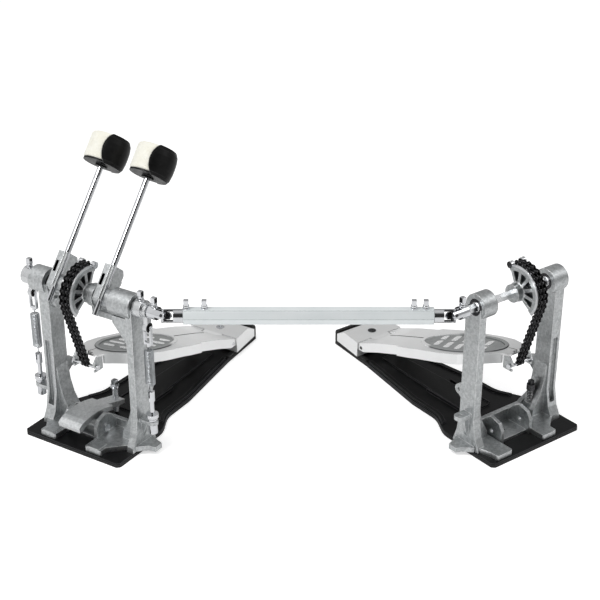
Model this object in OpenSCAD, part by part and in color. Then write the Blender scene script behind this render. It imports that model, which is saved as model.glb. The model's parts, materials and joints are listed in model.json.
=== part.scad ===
// Double bass drum pedal: a main pedal with two beaters, and a slave pedal that
// works the second beater through a telescopic drive tube with two universal joints.
// Each pedal is drawn in a frame of its own: x runs across the pedal, y runs from
// the front of its base plate towards the heel, z runs up from the floor.

/* [Layout] */
// Distance between the two universal joints, with the drive tube at its shortest
joint_span = 350; // [340:1:380]
// Angle between the drive tube and the long axis of the main pedal
main_turn = 57.8; // [52:0.1:62]
// Angle between the drive tube and the long axis of the slave pedal
slave_turn = 53; // [50:0.1:60]
// From the middle of the main pedal to its universal joint
main_joint_x = 122.5; // [120:0.5:130]
// From the middle of the slave pedal to its universal joint
slave_joint_x = 113; // [112:0.5:125]

/* [Base plate] */
// Width of the front of the base plate
plate_w = 158; // [154:1:170]
// Length of the full-width front of the base plate
front_len = 57; // [50:1:62]
// Length of the pedal over its heel bumper
pedal_len = 388; // [384:1:400]
// Width of the base plate at the heel
heel_w = 60; // [56:1:66]
// Width of the base plate behind its shoulders
waist_w = 114; // [106:1:118]
// Thickness of the rubber mat under the base plate
mat_t = 3; // [2:0.5:4]
// Thickness of the steel base plate
plate_t = 3; // [2.5:0.5:4]
// Height of the pressed ribs above the base plate
rib_h = 2.5; // [1:0.5:4]

/* [Shafts and cams] */
// Distance of the shafts behind the front edge
shaft_y = 54; // [52:0.5:56]
// Height of the shafts above the floor
shaft_z = 207; // [200:1:215]
// Width of the hexagonal shafts across their flats
shaft_af = 10; // [9:0.5:11]
// Outer radius of the bearings
bearing_r = 11; // [10.5:0.25:12]
// Width of one bearing
bearing_w = 8; // [6:0.5:9]
// Radius of the bearing housings
housing_r = 17.2; // [16:0.2:18]
// Radius at which the chain winds on the cam
cam_r = 36; // [35:0.5:38]
// Width of the cam rim between its two flanges
cam_w = 14; // [14:0.5:16]

/* [Chain] */
// Distance between neighbouring chain pins
pitch = 8; // [7.8:0.05:8.2]
// Radius of the chain pins
chain_pin_r = 1; // [0.9:0.05:1.1]
// Radius of the chain rollers
roller_r = 2.4; // [2.2:0.1:2.6]
// Height of the link plates
link_h = 7; // [6.4:0.1:7.2]
// Thickness of the link plates
link_t = 0.9; // [0.7:0.05:1]
// Width of one roller
roller_w = 3; // [2.8:0.1:3.2]

/* [Footboard] */
// Distance of the footboard hinge behind the front edge
hinge_y = 315; // [312:1:320]
// Height of the footboard hinge above the floor
hinge_z = 25; // [24:0.5:28]
// Radius of the hinge pin
hinge_r = 2.5; // [2:0.25:3]
// Width of the footboard at its middle
board_w = 90; // [84:1:94]
// Thickness of the footboard shell
board_t = 3; // [2.5:0.25:4]
// Depth of the side skirts of the footboard
skirt_h = 15; // [12:0.5:18]
// Distance of the toe pivot behind the front edge
toe_y = 48; // [46:0.5:50]

/* [Beaters] */
// Lean of the beater rods towards the heel at rest
beater_tilt = 39.3; // [36:0.1:42]
// Radius of the beater rods
rod_r = 4; // [3.5:0.25:4.25]
// Distance of the rod axis in front of the shaft axis
rod_offset = 11; // [11:0.25:12.5]
// From the shaft to the underside of the beater head
head_reach = 161; // [150:1:170]
// Height of the beater felt along the rod
felt_h = 36; // [32:1:40]
// Radius of the beater head
head_r = 26; // [24:0.5:28]
// Angle of the beater heads on their rods, felt side away from the drum at zero
head_turn = -69; // [-90:1:0]

/* [Springs] */
// Mean radius of the spring coils
coil_r = 5.6; // [5.2:0.1:6]
// Radius of the spring wire
wire_r = 0.75; // [0.6:0.05:0.8]
// Rise of the spring per turn
coil_pitch = 2; // [1.95:0.05:2.2]
// Turns of each spring
coil_turns = 24; // [20:1:24]
// Height of the lower spring pivot above the floor
eye_z = 88; // [86:0.5:92]
// Length of the rocker arms
rocker_reach = 23; // [22:0.5:25]

/* [Drive tube] */
// Width of the hexagonal drive tube across its flats
tube_af = 18.8; // [18.4:0.2:20]
// Gap between each universal joint and the end of the drive tube
tube_gap = 22.5; // [22:0.5:26]
// Radius of the bar that slides in the drive tube
bar_r = 6; // [5.5:0.25:6.5]
// Radius of the universal joint yokes
yoke_r = 8.6; // [8.4:0.1:9]
// Radius of the universal joint pins
cross_r = 2; // [1.8:0.1:2.2]

/* [Hoop clamp] */
// Width of the hoop clamp jaw
jaw_w = 35; // [32:1:36]
// Distance of the jaw pivot behind the front edge
jaw_y = 45; // [44:0.5:47]
// Height of the jaw pivot above the floor
jaw_z = 20; // [19:0.5:22]
// Radius of the jaw pivot pin
jaw_pin_r = 3; // [2.5:0.25:3.25]
// Distance of the clamp screw behind the front edge
screw_y = 99; // [97:1:101]
// Radius of the clamp screw
screw_r = 4; // [3.5:0.25:4.5]

/* [Hidden] */
// Curves are drawn with this many sides
$fn = 48;
// Running clearance of pins and shafts in their holes
fit = 0.05;
// Clearance between parts that only pass each other
pass = 0.3;
base_z = mat_t + plate_t;
// Middle of the whole outline, measured from the middle of the drive tube
outline_x = -6.9;
outline_y = 171;

// Chain: links that stay on the cam, links that peel off it, and the free run
fixed_links = 6;
peel_links = 4;
run_links = 12;
link_step = 2 * asin(pitch / 2 / cam_r);
toe_reach = norm([cam_r, run_links * pitch]);
toe_z = shaft_z - sqrt(pow(toe_reach, 2) - pow(shaft_y - toe_y, 2));
leave_angle = 360 + atan2(toe_z - shaft_z, toe_y - shaft_y) - acos(cam_r / toe_reach);
anchor_angle = leave_angle - (fixed_links + peel_links) * link_step;

// Pressed pose of one pedal: all the peeling links hang in line with the free run
pressed_reach = norm([cam_r, (run_links + peel_links) * pitch]);
hinge_to_toe = norm([toe_y - hinge_y, toe_z - hinge_z]);
hinge_to_shaft = norm([shaft_y - hinge_y, shaft_z - hinge_z]);
pressed_corner = acos((pow(hinge_to_shaft, 2) + pow(hinge_to_toe, 2) - pow(pressed_reach, 2))
    / (2 * hinge_to_shaft * hinge_to_toe));
pressed_toe_angle = atan2(shaft_z - hinge_z, shaft_y - hinge_y) + pressed_corner;
pressed_toe = [hinge_y + hinge_to_toe * cos(pressed_toe_angle),
    hinge_z + hinge_to_toe * sin(pressed_toe_angle)];
pressed_leave = 360 + atan2(pressed_toe[1] - shaft_z, pressed_toe[0] - shaft_y)
    - acos(cam_r / pressed_reach);
stroke = pressed_leave - leave_angle + peel_links * link_step;

// Universal joints: bend of each joint, and turn of shafts and tube from mid-stroke
main_bend = 90 - main_turn;
slave_bend = slave_turn - 90;
slave_phase = -stroke / 2;
tube_phase = atan(tan(slave_phase) / cos(slave_bend));
main_phase = atan(tan(tube_phase) * cos(main_bend));

// Places, measured across each pedal from its middle (x of that pedal)
main_posts = [[-72, -56], [69, 79]];
slave_posts = [[-77, -66], [56, 72]];
main_housings = [[-84, -60], [45, 78]];
slave_housings = [[-74.1, -52.4], [47.8, 72.8]];
main_prongs = [[-54, -29], [21, 47]];
slave_prongs = [[-69, -42], [14, 38]];
main_ears = [[-32.5, -27.5], [18, 23]];
slave_ears = [[-40, -35], [11, 16]];
main_bearing_places = [-84, -68, 11, 15.4, 45, 70];
main_bearing_widths = [8, 8, 3.4, 3.6, 8, 8];
slave_bearing_places = [-74.1, -60.4, 47.8, 64.8];
slave_bearing_widths = [8, 8, 8, 8];
ring_x = [10.5, 19.5];
chain_x = 6;
outer_spring_x = -93;
inner_spring_x = 95;
spring_y = shaft_y + rocker_reach * cos(268);
rocker_z = shaft_z + rocker_reach * sin(268);
lug_z = 45;
lug_t = 5;
journal_r = 6.5;
post_y = 42;
post_depth = 26;
foot_top = base_z + 7;
jaw_x = [-21.5, jaw_w - 21.5];
screw_x = -4;
toe_span = 16;
outer_rod_x = -42.8;
inner_rod_x = 32.2;

steel = [0.75, 0.76, 0.77];
cast = [0.66, 0.67, 0.68];
chrome = [0.85, 0.86, 0.88];
dark = [0.13, 0.13, 0.14];
rubber = [0.06, 0.06, 0.06];
cream = [0.95, 0.93, 0.85];

// Side view (y to the right, z up) drawn as a slab between two places along x
module slab(x0, x1)
    translate([min(x0, x1), 0, 0])
        rotate([90, 0, 90])
            linear_extrude(abs(x1 - x0))
                children();

// Front view (x to the right, z up) drawn as a wall between two places along y
module wall(y0, y1)
    translate([0, y1, 0])
        rotate([90, 0, 0])
            linear_extrude(y1 - y0)
                children();

// Round bar across the pedal
module bar(x0, x1, y, z, r)
    translate([min(x0, x1), y, z])
        rotate([0, 90, 0])
            cylinder(r = r, h = abs(x1 - x0));

// Hexagonal bar across the pedal
module hex_bar(x0, x1, y, z, af)
    translate([min(x0, x1), y, z])
        rotate([0, 90, 0])
            cylinder(d = af / cos(30), h = abs(x1 - x0), $fn = 6);

module pillar(x, y, z0, z1, r)
    translate([x, y, z0])
        cylinder(r = r, h = z1 - z0);

// Square-headed clamp bolt pointing up, standing on the surface at z = 0
module key_bolt(sunk = 4, neck = 4, head = 8) {
    translate([0, 0, -sunk])
        cylinder(r = 2.5, h = sunk + neck);
    cylinder(r = 4.2, h = 1.6);
    translate([-3, -3, neck])
        cube([6, 6, head]);
    translate([0, 0, neck - 1])
        cylinder(r = 4, h = 1.8);
}

module place_main()
    translate([-joint_span / 2 - outline_x, -outline_y, 0])
        rotate(main_turn - 90)
            translate([-main_joint_x, -shaft_y, 0])
                children();

module place_slave()
    translate([joint_span / 2 - outline_x, -outline_y, 0])
        rotate(90 - slave_turn)
            translate([slave_joint_x, -shaft_y, 0])
                children();

module place_joint(side)
    translate([side * joint_span / 2 - outline_x, -outline_y, shaft_z])
        children();

module at_shaft()
    translate([0, shaft_y, shaft_z])
        children();

// Base plates with mats and bumpers
function shoulder(t) = waist_w / 2 + (plate_w - 8 - waist_w) / 2 * (1 + cos(180 * t)) / 2;
plan_side = concat(
    [[plate_w / 2 - 4, 0], [plate_w / 2, 4], [plate_w / 2, front_len],
        [plate_w / 2 - 4, front_len + 3]],
    [for (t = [0 : 1 / 8 : 1]) [shoulder(t), 90 + 50 * t]],
    [[waist_w / 2 - 1, 182], [heel_w / 2 + 8, 302], [heel_w / 2 + 1, pedal_len - 4],
        [heel_w / 2 - 3, pedal_len]]);
bumper_t = 5;
bumper_y = 304;
bumper_h = 9;
heel_bumper_h = 20;

module plan(inset = 0)
    polygon(concat([for (p = plan_side) [p[0] - inset, p[1]]],
        [for (i = [len(plan_side) - 1 : -1 : 0]) [inset - plan_side[i][0], plan_side[i][1]]]));

module strip(y0, y1)
    translate([-plate_w, y0])
        square([2 * plate_w, y1 - y0]);

module bumper_ring(inner)
    difference() {
        plan();
        strip(-1, bumper_y);
        intersection() {
            plan(inner);
            strip(0, pedal_len - inner);
        }
    }

module base_plate()
    color(dark) {
        translate([0, 0, mat_t])
            linear_extrude(plate_t) {
                intersection() {
                    plan();
                    strip(-1, bumper_y);
                }
                intersection() {
                    plan(bumper_t);
                    strip(bumper_y - 1, pedal_len - bumper_t);
                }
            }
        translate([0, 0, base_z - 0.5])
            linear_extrude(rib_h + 0.5) {
                polygon([[-21, 110], [21, 110], [13, 298], [-13, 298]]);
                for (side = [-1, 1])
                    intersection() {
                        difference() {
                            plan(3);
                            plan(9);
                        }
                        strip(112, 300);
                        translate([side * plate_w / 2, 0])
                            square([plate_w, 2 * pedal_len], center = true);
                    }
            }
        for (side = [-1, 1])
            slab(side * 21, side * 23)
                polygon([[112, base_z - 0.5], [112, base_z + 4], [190, base_z + 4],
                    [190, base_z - 0.5]]);
    }

module mat_and_bumper(foot_x)
    color(rubber) {
        difference() {
            union() {
                linear_extrude(mat_t)
                    plan();
                linear_extrude(bumper_h)
                    bumper_ring(bumper_t);
                linear_extrude(heel_bumper_h)
                    intersection() {
                        bumper_ring(bumper_t);
                        strip(pedal_len - bumper_t - 6, pedal_len + 1);
                    }
            }
            translate([0, 0, 5])
                linear_extrude(1.5)
                    bumper_ring(1.2);
        }
        pillar(foot_x, 64, 0, base_z, 5);
    }

// Heel plates
heel_y = hinge_y + 5.6;
heel_top = 32;
module heel_plan(inset)
    polygon([[-41 + inset, heel_y + inset], [41 - inset, heel_y + inset],
        [34 - inset, 376 - inset], [inset - 34, 376 - inset]]);

module heel_plate()
    color(steel)
        difference() {
            union() {
                difference() {
                    intersection() {
                        translate([0, 0, bumper_h])
                            linear_extrude(heel_top)
                                heel_plan(0);
                        slab(-50, 50)
                            polygon([[heel_y, 0], [heel_y, heel_top], [357, heel_top],
                                [376, heel_bumper_h + 1], [376, 0]]);
                    }
                    intersection() {
                        linear_extrude(heel_top)
                            heel_plan(3);
                        slab(-50, 50)
                            polygon([[heel_y, 0], [heel_y, heel_top - 3.5], [355.5, heel_top - 3.5],
                                [376, heel_bumper_h - 3.2], [376, 0]]);
                    }
                }
                pillar(0, 337, base_z, heel_top - 3, 9);
                slab(-16, 16) {
                    translate([hinge_y, hinge_z])
                        circle(r = 6);
                    polygon([[hinge_y - 2, hinge_z - 5.6], [heel_y + 4, 15],
                        [heel_y + 4, heel_top], [heel_y - 1, heel_top], [hinge_y, hinge_z + 6]]);
                }
            }
            bar(-50, 50, hinge_y, hinge_z, hinge_r);
            pillar(0, 337, base_z - 1, heel_top + 1, 3);
            pillar(0, 337, heel_top - 2, heel_top + 1, 6);
        }

// Cast frames
module foot_plan(x0, x1, out, front = 3)
    // Prong under the drum hoop, widening rearwards to the foot of a post at out
    polygon([[x0, front + 2], [x0 + 2, front], [x1 - 2, front], [x1, front + 2], [x1, 15],
        [x1 + max(0, out - x1) * 0.35, 26], [max(x1, out), 44], [max(x1, out), 72],
        [min(x0, out), 72], [min(x0, out), 44], [x0 - max(0, x0 - out) * 0.35, 26], [x0, 15]]);

module post(x, inner) {
    // inner is +1 when the middle of the pedal lies towards +x
    x_in = inner > 0 ? x[1] : x[0];
    slab(x[0], x[1])
        polygon([[post_y - 12, base_z], [post_y - 11, foot_top], [post_y - 5, 24],
            [post_y, 50], [post_y, shaft_z], [post_y + post_depth, shaft_z],
            [post_y + post_depth, 50], [post_y + post_depth + 4, 24],
            [post_y + post_depth + 10, base_z]]);
    wall(post_y + 4, post_y + post_depth)
        polygon([[x_in - inner, base_z], [x_in - inner, 92], [x_in, 86], [x_in + inner * 3, 60],
            [x_in + inner * 8, 42], [x_in + inner * 16, 27], [x_in + inner * 19, 21],
            [x_in + inner * 20, base_z]]);
}

module post_front_recess(x)
    translate([x[0] + 3.5, post_y - 12, 30])
        cube([x[1] - x[0] - 7, 16, 95]);

module rear_lug(x0, x1)
    slab(x0, x1) {
        translate([post_y + post_depth + 8, 80])
            circle(r = 7);
        polygon([[post_y + post_depth - 1, 66], [post_y + post_depth + 8, 73],
            [post_y + post_depth + 8, 87], [post_y + post_depth - 1, 94]]);
    }

module rear_lug_hole(x)
    bar(x - 20, x + 20, post_y + post_depth + 8, 80, 2.75);

module ear(x)
    slab(x[0], x[1])
        polygon([[27, base_z], [27, 26], [33, 36], [48, 40], [58, 34], [66, 24], [72, 22],
            [72, base_z]]);

module spring_lug(x, x_post) {
    translate([min(x, x_post), spring_y - 7.2, lug_z])
        cube([abs(x - x_post), 14.4, lug_t]);
    pillar(x, spring_y, lug_z, lug_z + lug_t, 7.2);
}

module main_frame()
    color(cast)
        place_main()
            difference() {
                union() {
                    post(main_posts[0], 1);
                    post(main_posts[1], -1);
                    for (h = main_housings)
                        bar(h[0], h[1], shaft_y, shaft_z, housing_r);
                    bar(ring_x[0], ring_x[1], shaft_y, shaft_z, bearing_r + 4);
                    slab(ring_x[0], main_housings[1][0] + 2)
                        polygon([[shaft_y - 4, shaft_z - 27], [shaft_y + 12, shaft_z - 25],
                            [shaft_y + 16, shaft_z - 20.5], [shaft_y - 2, shaft_z - 20.5]]);
                    slab(ring_x[0], ring_x[1])
                        polygon([[shaft_y - 4, shaft_z - 27], [shaft_y + 12, shaft_z - 25],
                            [shaft_y + 14, shaft_z - 8], [shaft_y - 6, shaft_z - 8]]);
                    slab(main_housings[1][0], main_posts[1][0] + 1)
                        polygon([[shaft_y - 4, shaft_z - 27], [shaft_y + 12, shaft_z - 25],
                            [shaft_y + 14, shaft_z - 8], [shaft_y - 6, shaft_z - 8]]);
                    wall(post_y + 4, post_y + post_depth - 4)
                        polygon([[main_posts[1][0] + 1, 150], [main_posts[1][0] + 1, 190],
                            [main_housings[1][0], 190], [main_housings[1][0], 180]]);
                    bar(main_posts[0][1] - 1, main_posts[0][1] + 7.5, shaft_y, 180, 8);
                    linear_extrude(foot_top) {
                        foot_plan(main_prongs[0][0], main_prongs[0][1], -77);
                        foot_plan(main_prongs[1][0], main_prongs[1][1], 79);
                        polygon([[78, 36], [90, 47], [inner_spring_x + 6, 49],
                            [inner_spring_x + 6, 62], [84, 68], [78, 72]]);
                    }
                    for (p = main_prongs)
                        translate([p[0] + 4, 4.5, base_z])
                            cube([p[1] - p[0] - 8, 18, foot_top - base_z + 0.6]);
                    linear_extrude(base_z + 3.5)
                        translate([main_prongs[0][1] - 1, 32])
                            square([main_prongs[1][0] - main_prongs[0][1] + 2, 40]);
                    wall(66, 72)
                        polygon([[main_posts[0][1] - 1, base_z], [main_posts[0][1] - 1, 40],
                            [main_prongs[0][0] + 10, 24], [main_prongs[1][1] - 6, 24],
                            [main_posts[1][0] + 1, 40], [main_posts[1][0] + 1, base_z]]);
                    for (e = main_ears)
                        ear(e);
                    rear_lug(main_posts[0][1] - 8, main_posts[0][1] - 1);
                    rear_lug(main_posts[1][0], main_posts[1][0] + 6);
                    spring_lug(outer_spring_x, main_posts[0][0] + 2);
                    spring_lug(inner_spring_x, main_posts[1][1] - 2);
                    for (g = [[main_posts[0][0] + 1, -1], [main_posts[1][1] - 1, 1]])
                        wall(spring_y - 3, spring_y + 3)
                            polygon([[g[0], 20], [g[0] + g[1] * 4, 28], [g[0] + g[1] * 9, 40],
                                [g[0] + g[1] * 10, lug_z + 1], [g[0], lug_z + 1]]);
                }
                translate([0, 0, -1])
                    linear_extrude(base_z + 1)
                        square([400, 400], center = true);
                post_front_recess(main_posts[0]);
                for (side = [-1, 1])
                    bar(side * 40, side * 90, shaft_y, shaft_z, bearing_r);
                bar(ring_x[0] - 1, ring_x[1] + 1, shaft_y, shaft_z, bearing_r);
                pillar(52, shaft_y, shaft_z, shaft_z + 30, 1.4);
                rear_lug_hole(main_posts[0][1]);
                rear_lug_hole(main_posts[1][0]);
                bar(-40, 40, jaw_y, jaw_z, jaw_pin_r);
                for (x = [outer_spring_x, inner_spring_x])
                    pillar(x, spring_y, lug_z - 20, lug_z + lug_t + 1, 3);
            }

module slave_frame()
    color(cast)
        place_slave()
            difference() {
                union() {
                    post(slave_posts[0], 1);
                    post(slave_posts[1], -1);
                    for (h = slave_housings)
                        bar(h[0], h[1], shaft_y, shaft_z, housing_r);
                    linear_extrude(foot_top) {
                        foot_plan(slave_prongs[0][0], slave_prongs[0][1], -79);
                        foot_plan(slave_prongs[1][0], slave_prongs[1][1], 77);
                        polygon([[-78, 36], [-90, 47], [-98, 50], [-98, 63], [-84, 68],
                            [-78, 72]]);
                    }
                    linear_extrude(base_z + 3.5)
                        translate([slave_prongs[0][1] - 1, 32])
                            square([slave_prongs[1][0] - slave_prongs[0][1] + 2, 40]);
                    wall(66, 72)
                        polygon([[slave_posts[0][1] - 1, base_z], [slave_posts[0][1] - 1, 46],
                            [slave_prongs[0][0] + 10, 26], [slave_prongs[1][1] - 6, 26],
                            [slave_posts[1][0] + 1, 40], [slave_posts[1][0] + 1, base_z]]);
                    for (e = slave_ears)
                        ear(e);
                    rear_lug(slave_posts[0][1] - 7, slave_posts[0][1] - 1);
                    rear_lug(slave_posts[1][0], slave_posts[1][0] + 7);
                    translate([0, 0, 8])
                        spring_lug(-spare_lug_x, slave_posts[0][0] + 2);
                    wall(spring_y - 3, spring_y + 3)
                        polygon([[slave_posts[0][0] + 1, 20], [slave_posts[0][0] - 4, 30],
                            [slave_posts[0][0] - 8, 44], [slave_posts[0][0] - 9, lug_z + 9],
                            [slave_posts[0][0] + 1, lug_z + 9]]);
                    pillar(slave_screw_x, slave_screw_y, base_z, 30, 7);
                }
                translate([0, 0, -1])
                    linear_extrude(base_z + 1)
                        square([400, 400], center = true);
                post_front_recess(slave_posts[1]);
                for (side = [-1, 1])
                    bar(side * 40, side * 90, shaft_y, shaft_z, bearing_r);
                rear_lug_hole(slave_posts[0][1]);
                rear_lug_hole(slave_posts[1][0]);
                bar(-45, 20, jaw_y, jaw_z, jaw_pin_r);
                pillar(-12, 50, base_z - 1, base_z + 5, 2.2);
                pillar(-spare_lug_x, spring_y, lug_z, lug_z + 20, 3);
                pillar(slave_screw_x, slave_screw_y, base_z - 1, 31, screw_r - 0.5);
                pillar(slave_screw_x, slave_screw_y, 30, 70, screw_r + 0.8);
            }

module bearings(places, widths)
    color(dark)
        for (i = [0 : len(places) - 1])
            difference() {
                bar(places[i], places[i] + widths[i], shaft_y, shaft_z, bearing_r);
                bar(places[i] - 1, places[i] + widths[i] + 1, shaft_y, shaft_z,
                    journal_r + fit);
            }

// Spring adjuster: slotted eye rod, disc nut above the lug and round nut below it
eye_r = 4.5;
eye_pin_r = 1.2;
module spring_adjuster(x) {
    difference() {
        union() {
            pillar(x, spring_y, 30, eye_z - 7, 3);
            pillar(x, spring_y, eye_z - 9, eye_z + 5, eye_r);
        }
        translate([x - 1.1, spring_y - 10, eye_z - 3.6])
            cube([2.2, 20, 20]);
    }
    bar(x - eye_r + 0.6, x + eye_r - 0.6, spring_y, eye_z, eye_pin_r);
    for (n = [[lug_z + lug_t, lug_z + lug_t + 3, 6], [lug_z + lug_t + 3, lug_z + lug_t + 5, 4.5],
        [lug_z + lug_t + 5, lug_z + lug_t + 10, 8], [lug_z - 13, lug_z, 6]])
        difference() {
            pillar(x, spring_y, n[0], n[1], n[2]);
            pillar(x, spring_y, n[0] - 1, n[1] + 1, 3);
        }
}

module main_fasteners()
    color(chrome)
        place_main() {
            bar(-38.6, 38.6, hinge_y, hinge_z, hinge_r);
            heel_screw();
            bar(main_ears[0][0] - 3, main_ears[1][1] + 3, jaw_y, jaw_z, jaw_pin_r);
            for (x = [[main_ears[0][0] - 3, main_ears[0][0]], [main_ears[1][1], main_ears[1][1] + 3]])
                difference() {
                    bar(x[0], x[1], jaw_y, jaw_z, 5);
                    bar(x[0] - 1, x[1] + 1, jaw_y, jaw_z, jaw_pin_r);
                }
            spring_adjuster(outer_spring_x);
            spring_adjuster(inner_spring_x);
        }

module heel_screw()
    difference() {
        union() {
            pillar(0, 337, base_z, heel_top - 1, 3);
            pillar(0, 337, heel_top - 2, heel_top + 0.6, 6);
        }
        translate([0, 337, heel_top - 1])
            cylinder(d = 5.6, h = 3, $fn = 6);
    }

slave_screw_x = 43;
slave_screw_y = 59;
spare_lug_x = 91;
module slave_fasteners()
    color(dark)
        place_slave() {
            bar(-38.6, 38.6, hinge_y, hinge_z, hinge_r);
            heel_screw();
            pillar(slave_screw_x, slave_screw_y, base_z, 52, screw_r - 0.5);
            for (z = [33 : 3.2 : 48])
                pillar(slave_screw_x, slave_screw_y, z, z + 1.6, screw_r + 0.3);
            pillar(slave_screw_x, slave_screw_y, 52, 55, 5.2);
            translate([slave_screw_x - 3, slave_screw_y - 3, 54])
                cube([6, 6, 7]);
        }

// Footboards; toe is the middle of the chain
board_top = [[320, 31], [278, 48.5], [235, 64], [190, 79.5], [146, 93], [108, 105.5],
    [71, 117], [60, 119.8], [50, 121.5]];
function board_side(toe, side) = [[toe + side * 18, 50], [toe + side * 20, 62],
    [(toe + side * 4) * 0.6 + side * (board_w / 2 - 14), 88],
    [side * (board_w / 2 - 3), 115], [side * board_w / 2, 150],
    [side * board_w / 2, 205], [side * (board_w / 2 - 2.5), 233],
    [side * (board_w / 2 - 6.4), 236], [side * (board_w / 2 - 6.4), 320]];
module board_plan(toe, inset = 0)
    polygon(concat([for (p = board_side(toe, 1)) [p[0] - inset, p[1]]],
        [for (i = [8 : -1 : 0]) [board_side(toe, -1)[i][0] + inset, board_side(toe, -1)[i][1]]]));
module board_band(up, down)
    slab(-60, 60)
        polygon(concat([for (p = board_top) [p[0], p[1] + up]],
            [for (i = [len(board_top) - 1 : -1 : 0]) [board_top[i][0], board_top[i][1] - down]]));
module oval(grow)
    translate([0, 146])
        scale([35 + grow, 75 + grow])
            circle(r = 1);
module footboard(toe)
    color(chrome)
        difference() {
            union() {
                difference() {
                    intersection() {
                        board_band(0, board_t);
                        linear_extrude(200)
                            board_plan(toe);
                    }
                    intersection() {
                        board_band(5, 1);
                        linear_extrude(200)
                            oval(-5);
                    }
                    for (i = [-4 : 4])
                        linear_extrude(200)
                            intersection() {
                                oval(-9);
                                translate([0, 146 + i * 15])
                                    rotate(24)
                                        for (side = [-1, 1])
                                            translate([side * 15, 0])
                                                square([22, 5], center = true);
                            }
                }
                intersection() {
                    board_band(1.2, 1);
                    linear_extrude(200)
                        difference() {
                            oval(0);
                            oval(-5);
                        }
                }
                intersection() {
                    board_band(0, skirt_h);
                    linear_extrude(200)
                        difference() {
                            board_plan(toe);
                            board_plan(toe, 3);
                            strip(0, 62);
                        }
                }
                for (side = [-1, 1])
                    for (x = [[17.6, 23], [board_w / 2 - 11.4, board_w / 2 - 6.4]])
                        slab(side * x[0], side * x[1]) {
                            translate([hinge_y, hinge_z])
                                circle(r = 5.5);
                            polygon([[hinge_y + 4.8, hinge_z + 2], [hinge_y + 4.8, 31],
                                [290, 43], [290, 34], [hinge_y - 5, hinge_z - 2]]);
                        }
            }
            bar(-60, 60, hinge_y, hinge_z, hinge_r + fit);
            translate([-17, 303, 0])
                cube([34, 30, 60]);
            translate([-60, hinge_y + 4.8, 0])
                cube([120, 30, 60]);
            translate([-60, 310, 0])
                cube([120, 30, 20.5]);
            translate([toe - 8.5, 40, 90])
                cube([17, 14.5, 50]);
            intersection() {
                board_band(1, 0.8);
                translate([-1, 226, 0])
                    cube([2, 70, 100]);
            }
        }

// Toe clamp: two cheeks under the toe with a slotted hole for the last chain pin
toe_slot = 2.4;
toe_slot_angle = 20.7;
module toe_clamp(toe)
    color(steel)
        difference() {
            union() {
                for (side = [-1, 1])
                    slab(toe + side * (toe_span - 0.3), toe + side * (toe_span + 2.2))
                        polygon([[44, toe_z - 6], [60, toe_z - 6], [60, 116.8], [50, 118.5],
                            [44, 112]]);
                slab(toe - toe_span - 2.2, toe + toe_span + 2.2)
                    polygon([[54.5, 115], [60, 114], [60, 116.8], [54.5, 117.735]]);
            }
            translate([0, toe_y, toe_z])
                rotate([toe_slot_angle, 0, 0]) {
                    for (shift = [0, toe_slot])
                        bar(toe - 30, toe + 30, -shift, 0, 2.2 + 0.4);
                    translate([toe - 30, -toe_slot, -2.6])
                        cube([60, toe_slot, 5.2]);
                }
        }

// Shafts
module shaft(x0, x1, journals)
    color(chrome) {
        hex_bar(x0, x1, shaft_y, shaft_z, shaft_af);
        for (j = journals)
            bar(j[0], j[1], shaft_y, shaft_z, journal_r);
    }

module shaft_hole(x0, x1)
    hex_bar(x0, x1, 0, 0, shaft_af);

// Cams; side is +1 when the ribbed face of the cam looks towards +x
cam_angles = [60, 221];
seat_r = cam_r * cos(link_step / 2) - link_h / 2 - 0.1;
flange_r = cam_r - 0.5;
module sector(r, a0, a1)
    polygon(concat([[0, 0]], [for (i = [0 : 12]) r * 1.2 * [cos(a0 + (a1 - a0) * i / 12),
        sin(a0 + (a1 - a0) * i / 12)]]));
module cam(toe, side, hub_end)
    color(cast)
        at_shaft()
            difference() {
                union() {
                    intersection() {
                        difference() {
                            union() {
                                bar(toe - cam_w / 2 - 2, toe - cam_w / 2, 0, 0, flange_r);
                                bar(toe + cam_w / 2, toe + cam_w / 2 + 2, 0, 0, flange_r);
                                bar(toe - cam_w / 2 - 1, toe + cam_w / 2 + 1, 0, 0, seat_r);
                            }
                            bar(toe - cam_w, toe + cam_w, 0, 0, seat_r - 4.5);
                        }
                        slab(-30, 30)
                            sector(flange_r, cam_angles[0], cam_angles[1]);
                    }
                    slab(toe - 2, toe + 2)
                        intersection() {
                            circle(r = seat_r - 3);
                            sector(flange_r, cam_angles[0], cam_angles[1]);
                        }
                    for (a = [cam_angles[0] + 5 : 30.2 : cam_angles[1]])
                        slab(toe, toe + side * (cam_w / 2 + 1.5))
                            rotate(a)
                                translate([10, -2])
                                    square([seat_r - 13, 4]);
                    for (x = [toe - cam_w / 2 - 2, toe + cam_w / 2])
                        bar(x, x + 2, cam_r * cos(anchor_angle), cam_r * sin(anchor_angle), 4.6);
                    bar(toe - cam_w / 2 - 2, toe + cam_w / 2 + 2, 0, 0, 13);
                    bar(toe, hub_end, 0, 0, 12);
                }
                shaft_hole(-40, 40);
                bar(toe - cam_w, toe + cam_w, cam_r * cos(anchor_angle),
                    cam_r * sin(anchor_angle), chain_pin_r);
            }

// Chains. A link runs along +y from its first pin at the origin; x = 0 is its middle
module link_plate(x0, x1)
    slab(x0, x1) {
        circle(d = link_h);
        translate([pitch, 0])
            circle(d = link_h);
        translate([0, -link_h / 2])
            square([pitch, link_h]);
    }

module outer_link(first_pin = 6.5, last_pin = 6.5) {
    link_plate(-6.5, -5.5);
    link_plate(-0.5, 0.5);
    link_plate(5.5, 6.5);
    bar(-first_pin, first_pin, 0, 0, chain_pin_r);
    bar(-last_pin, last_pin, pitch, 0, chain_pin_r);
}

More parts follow.
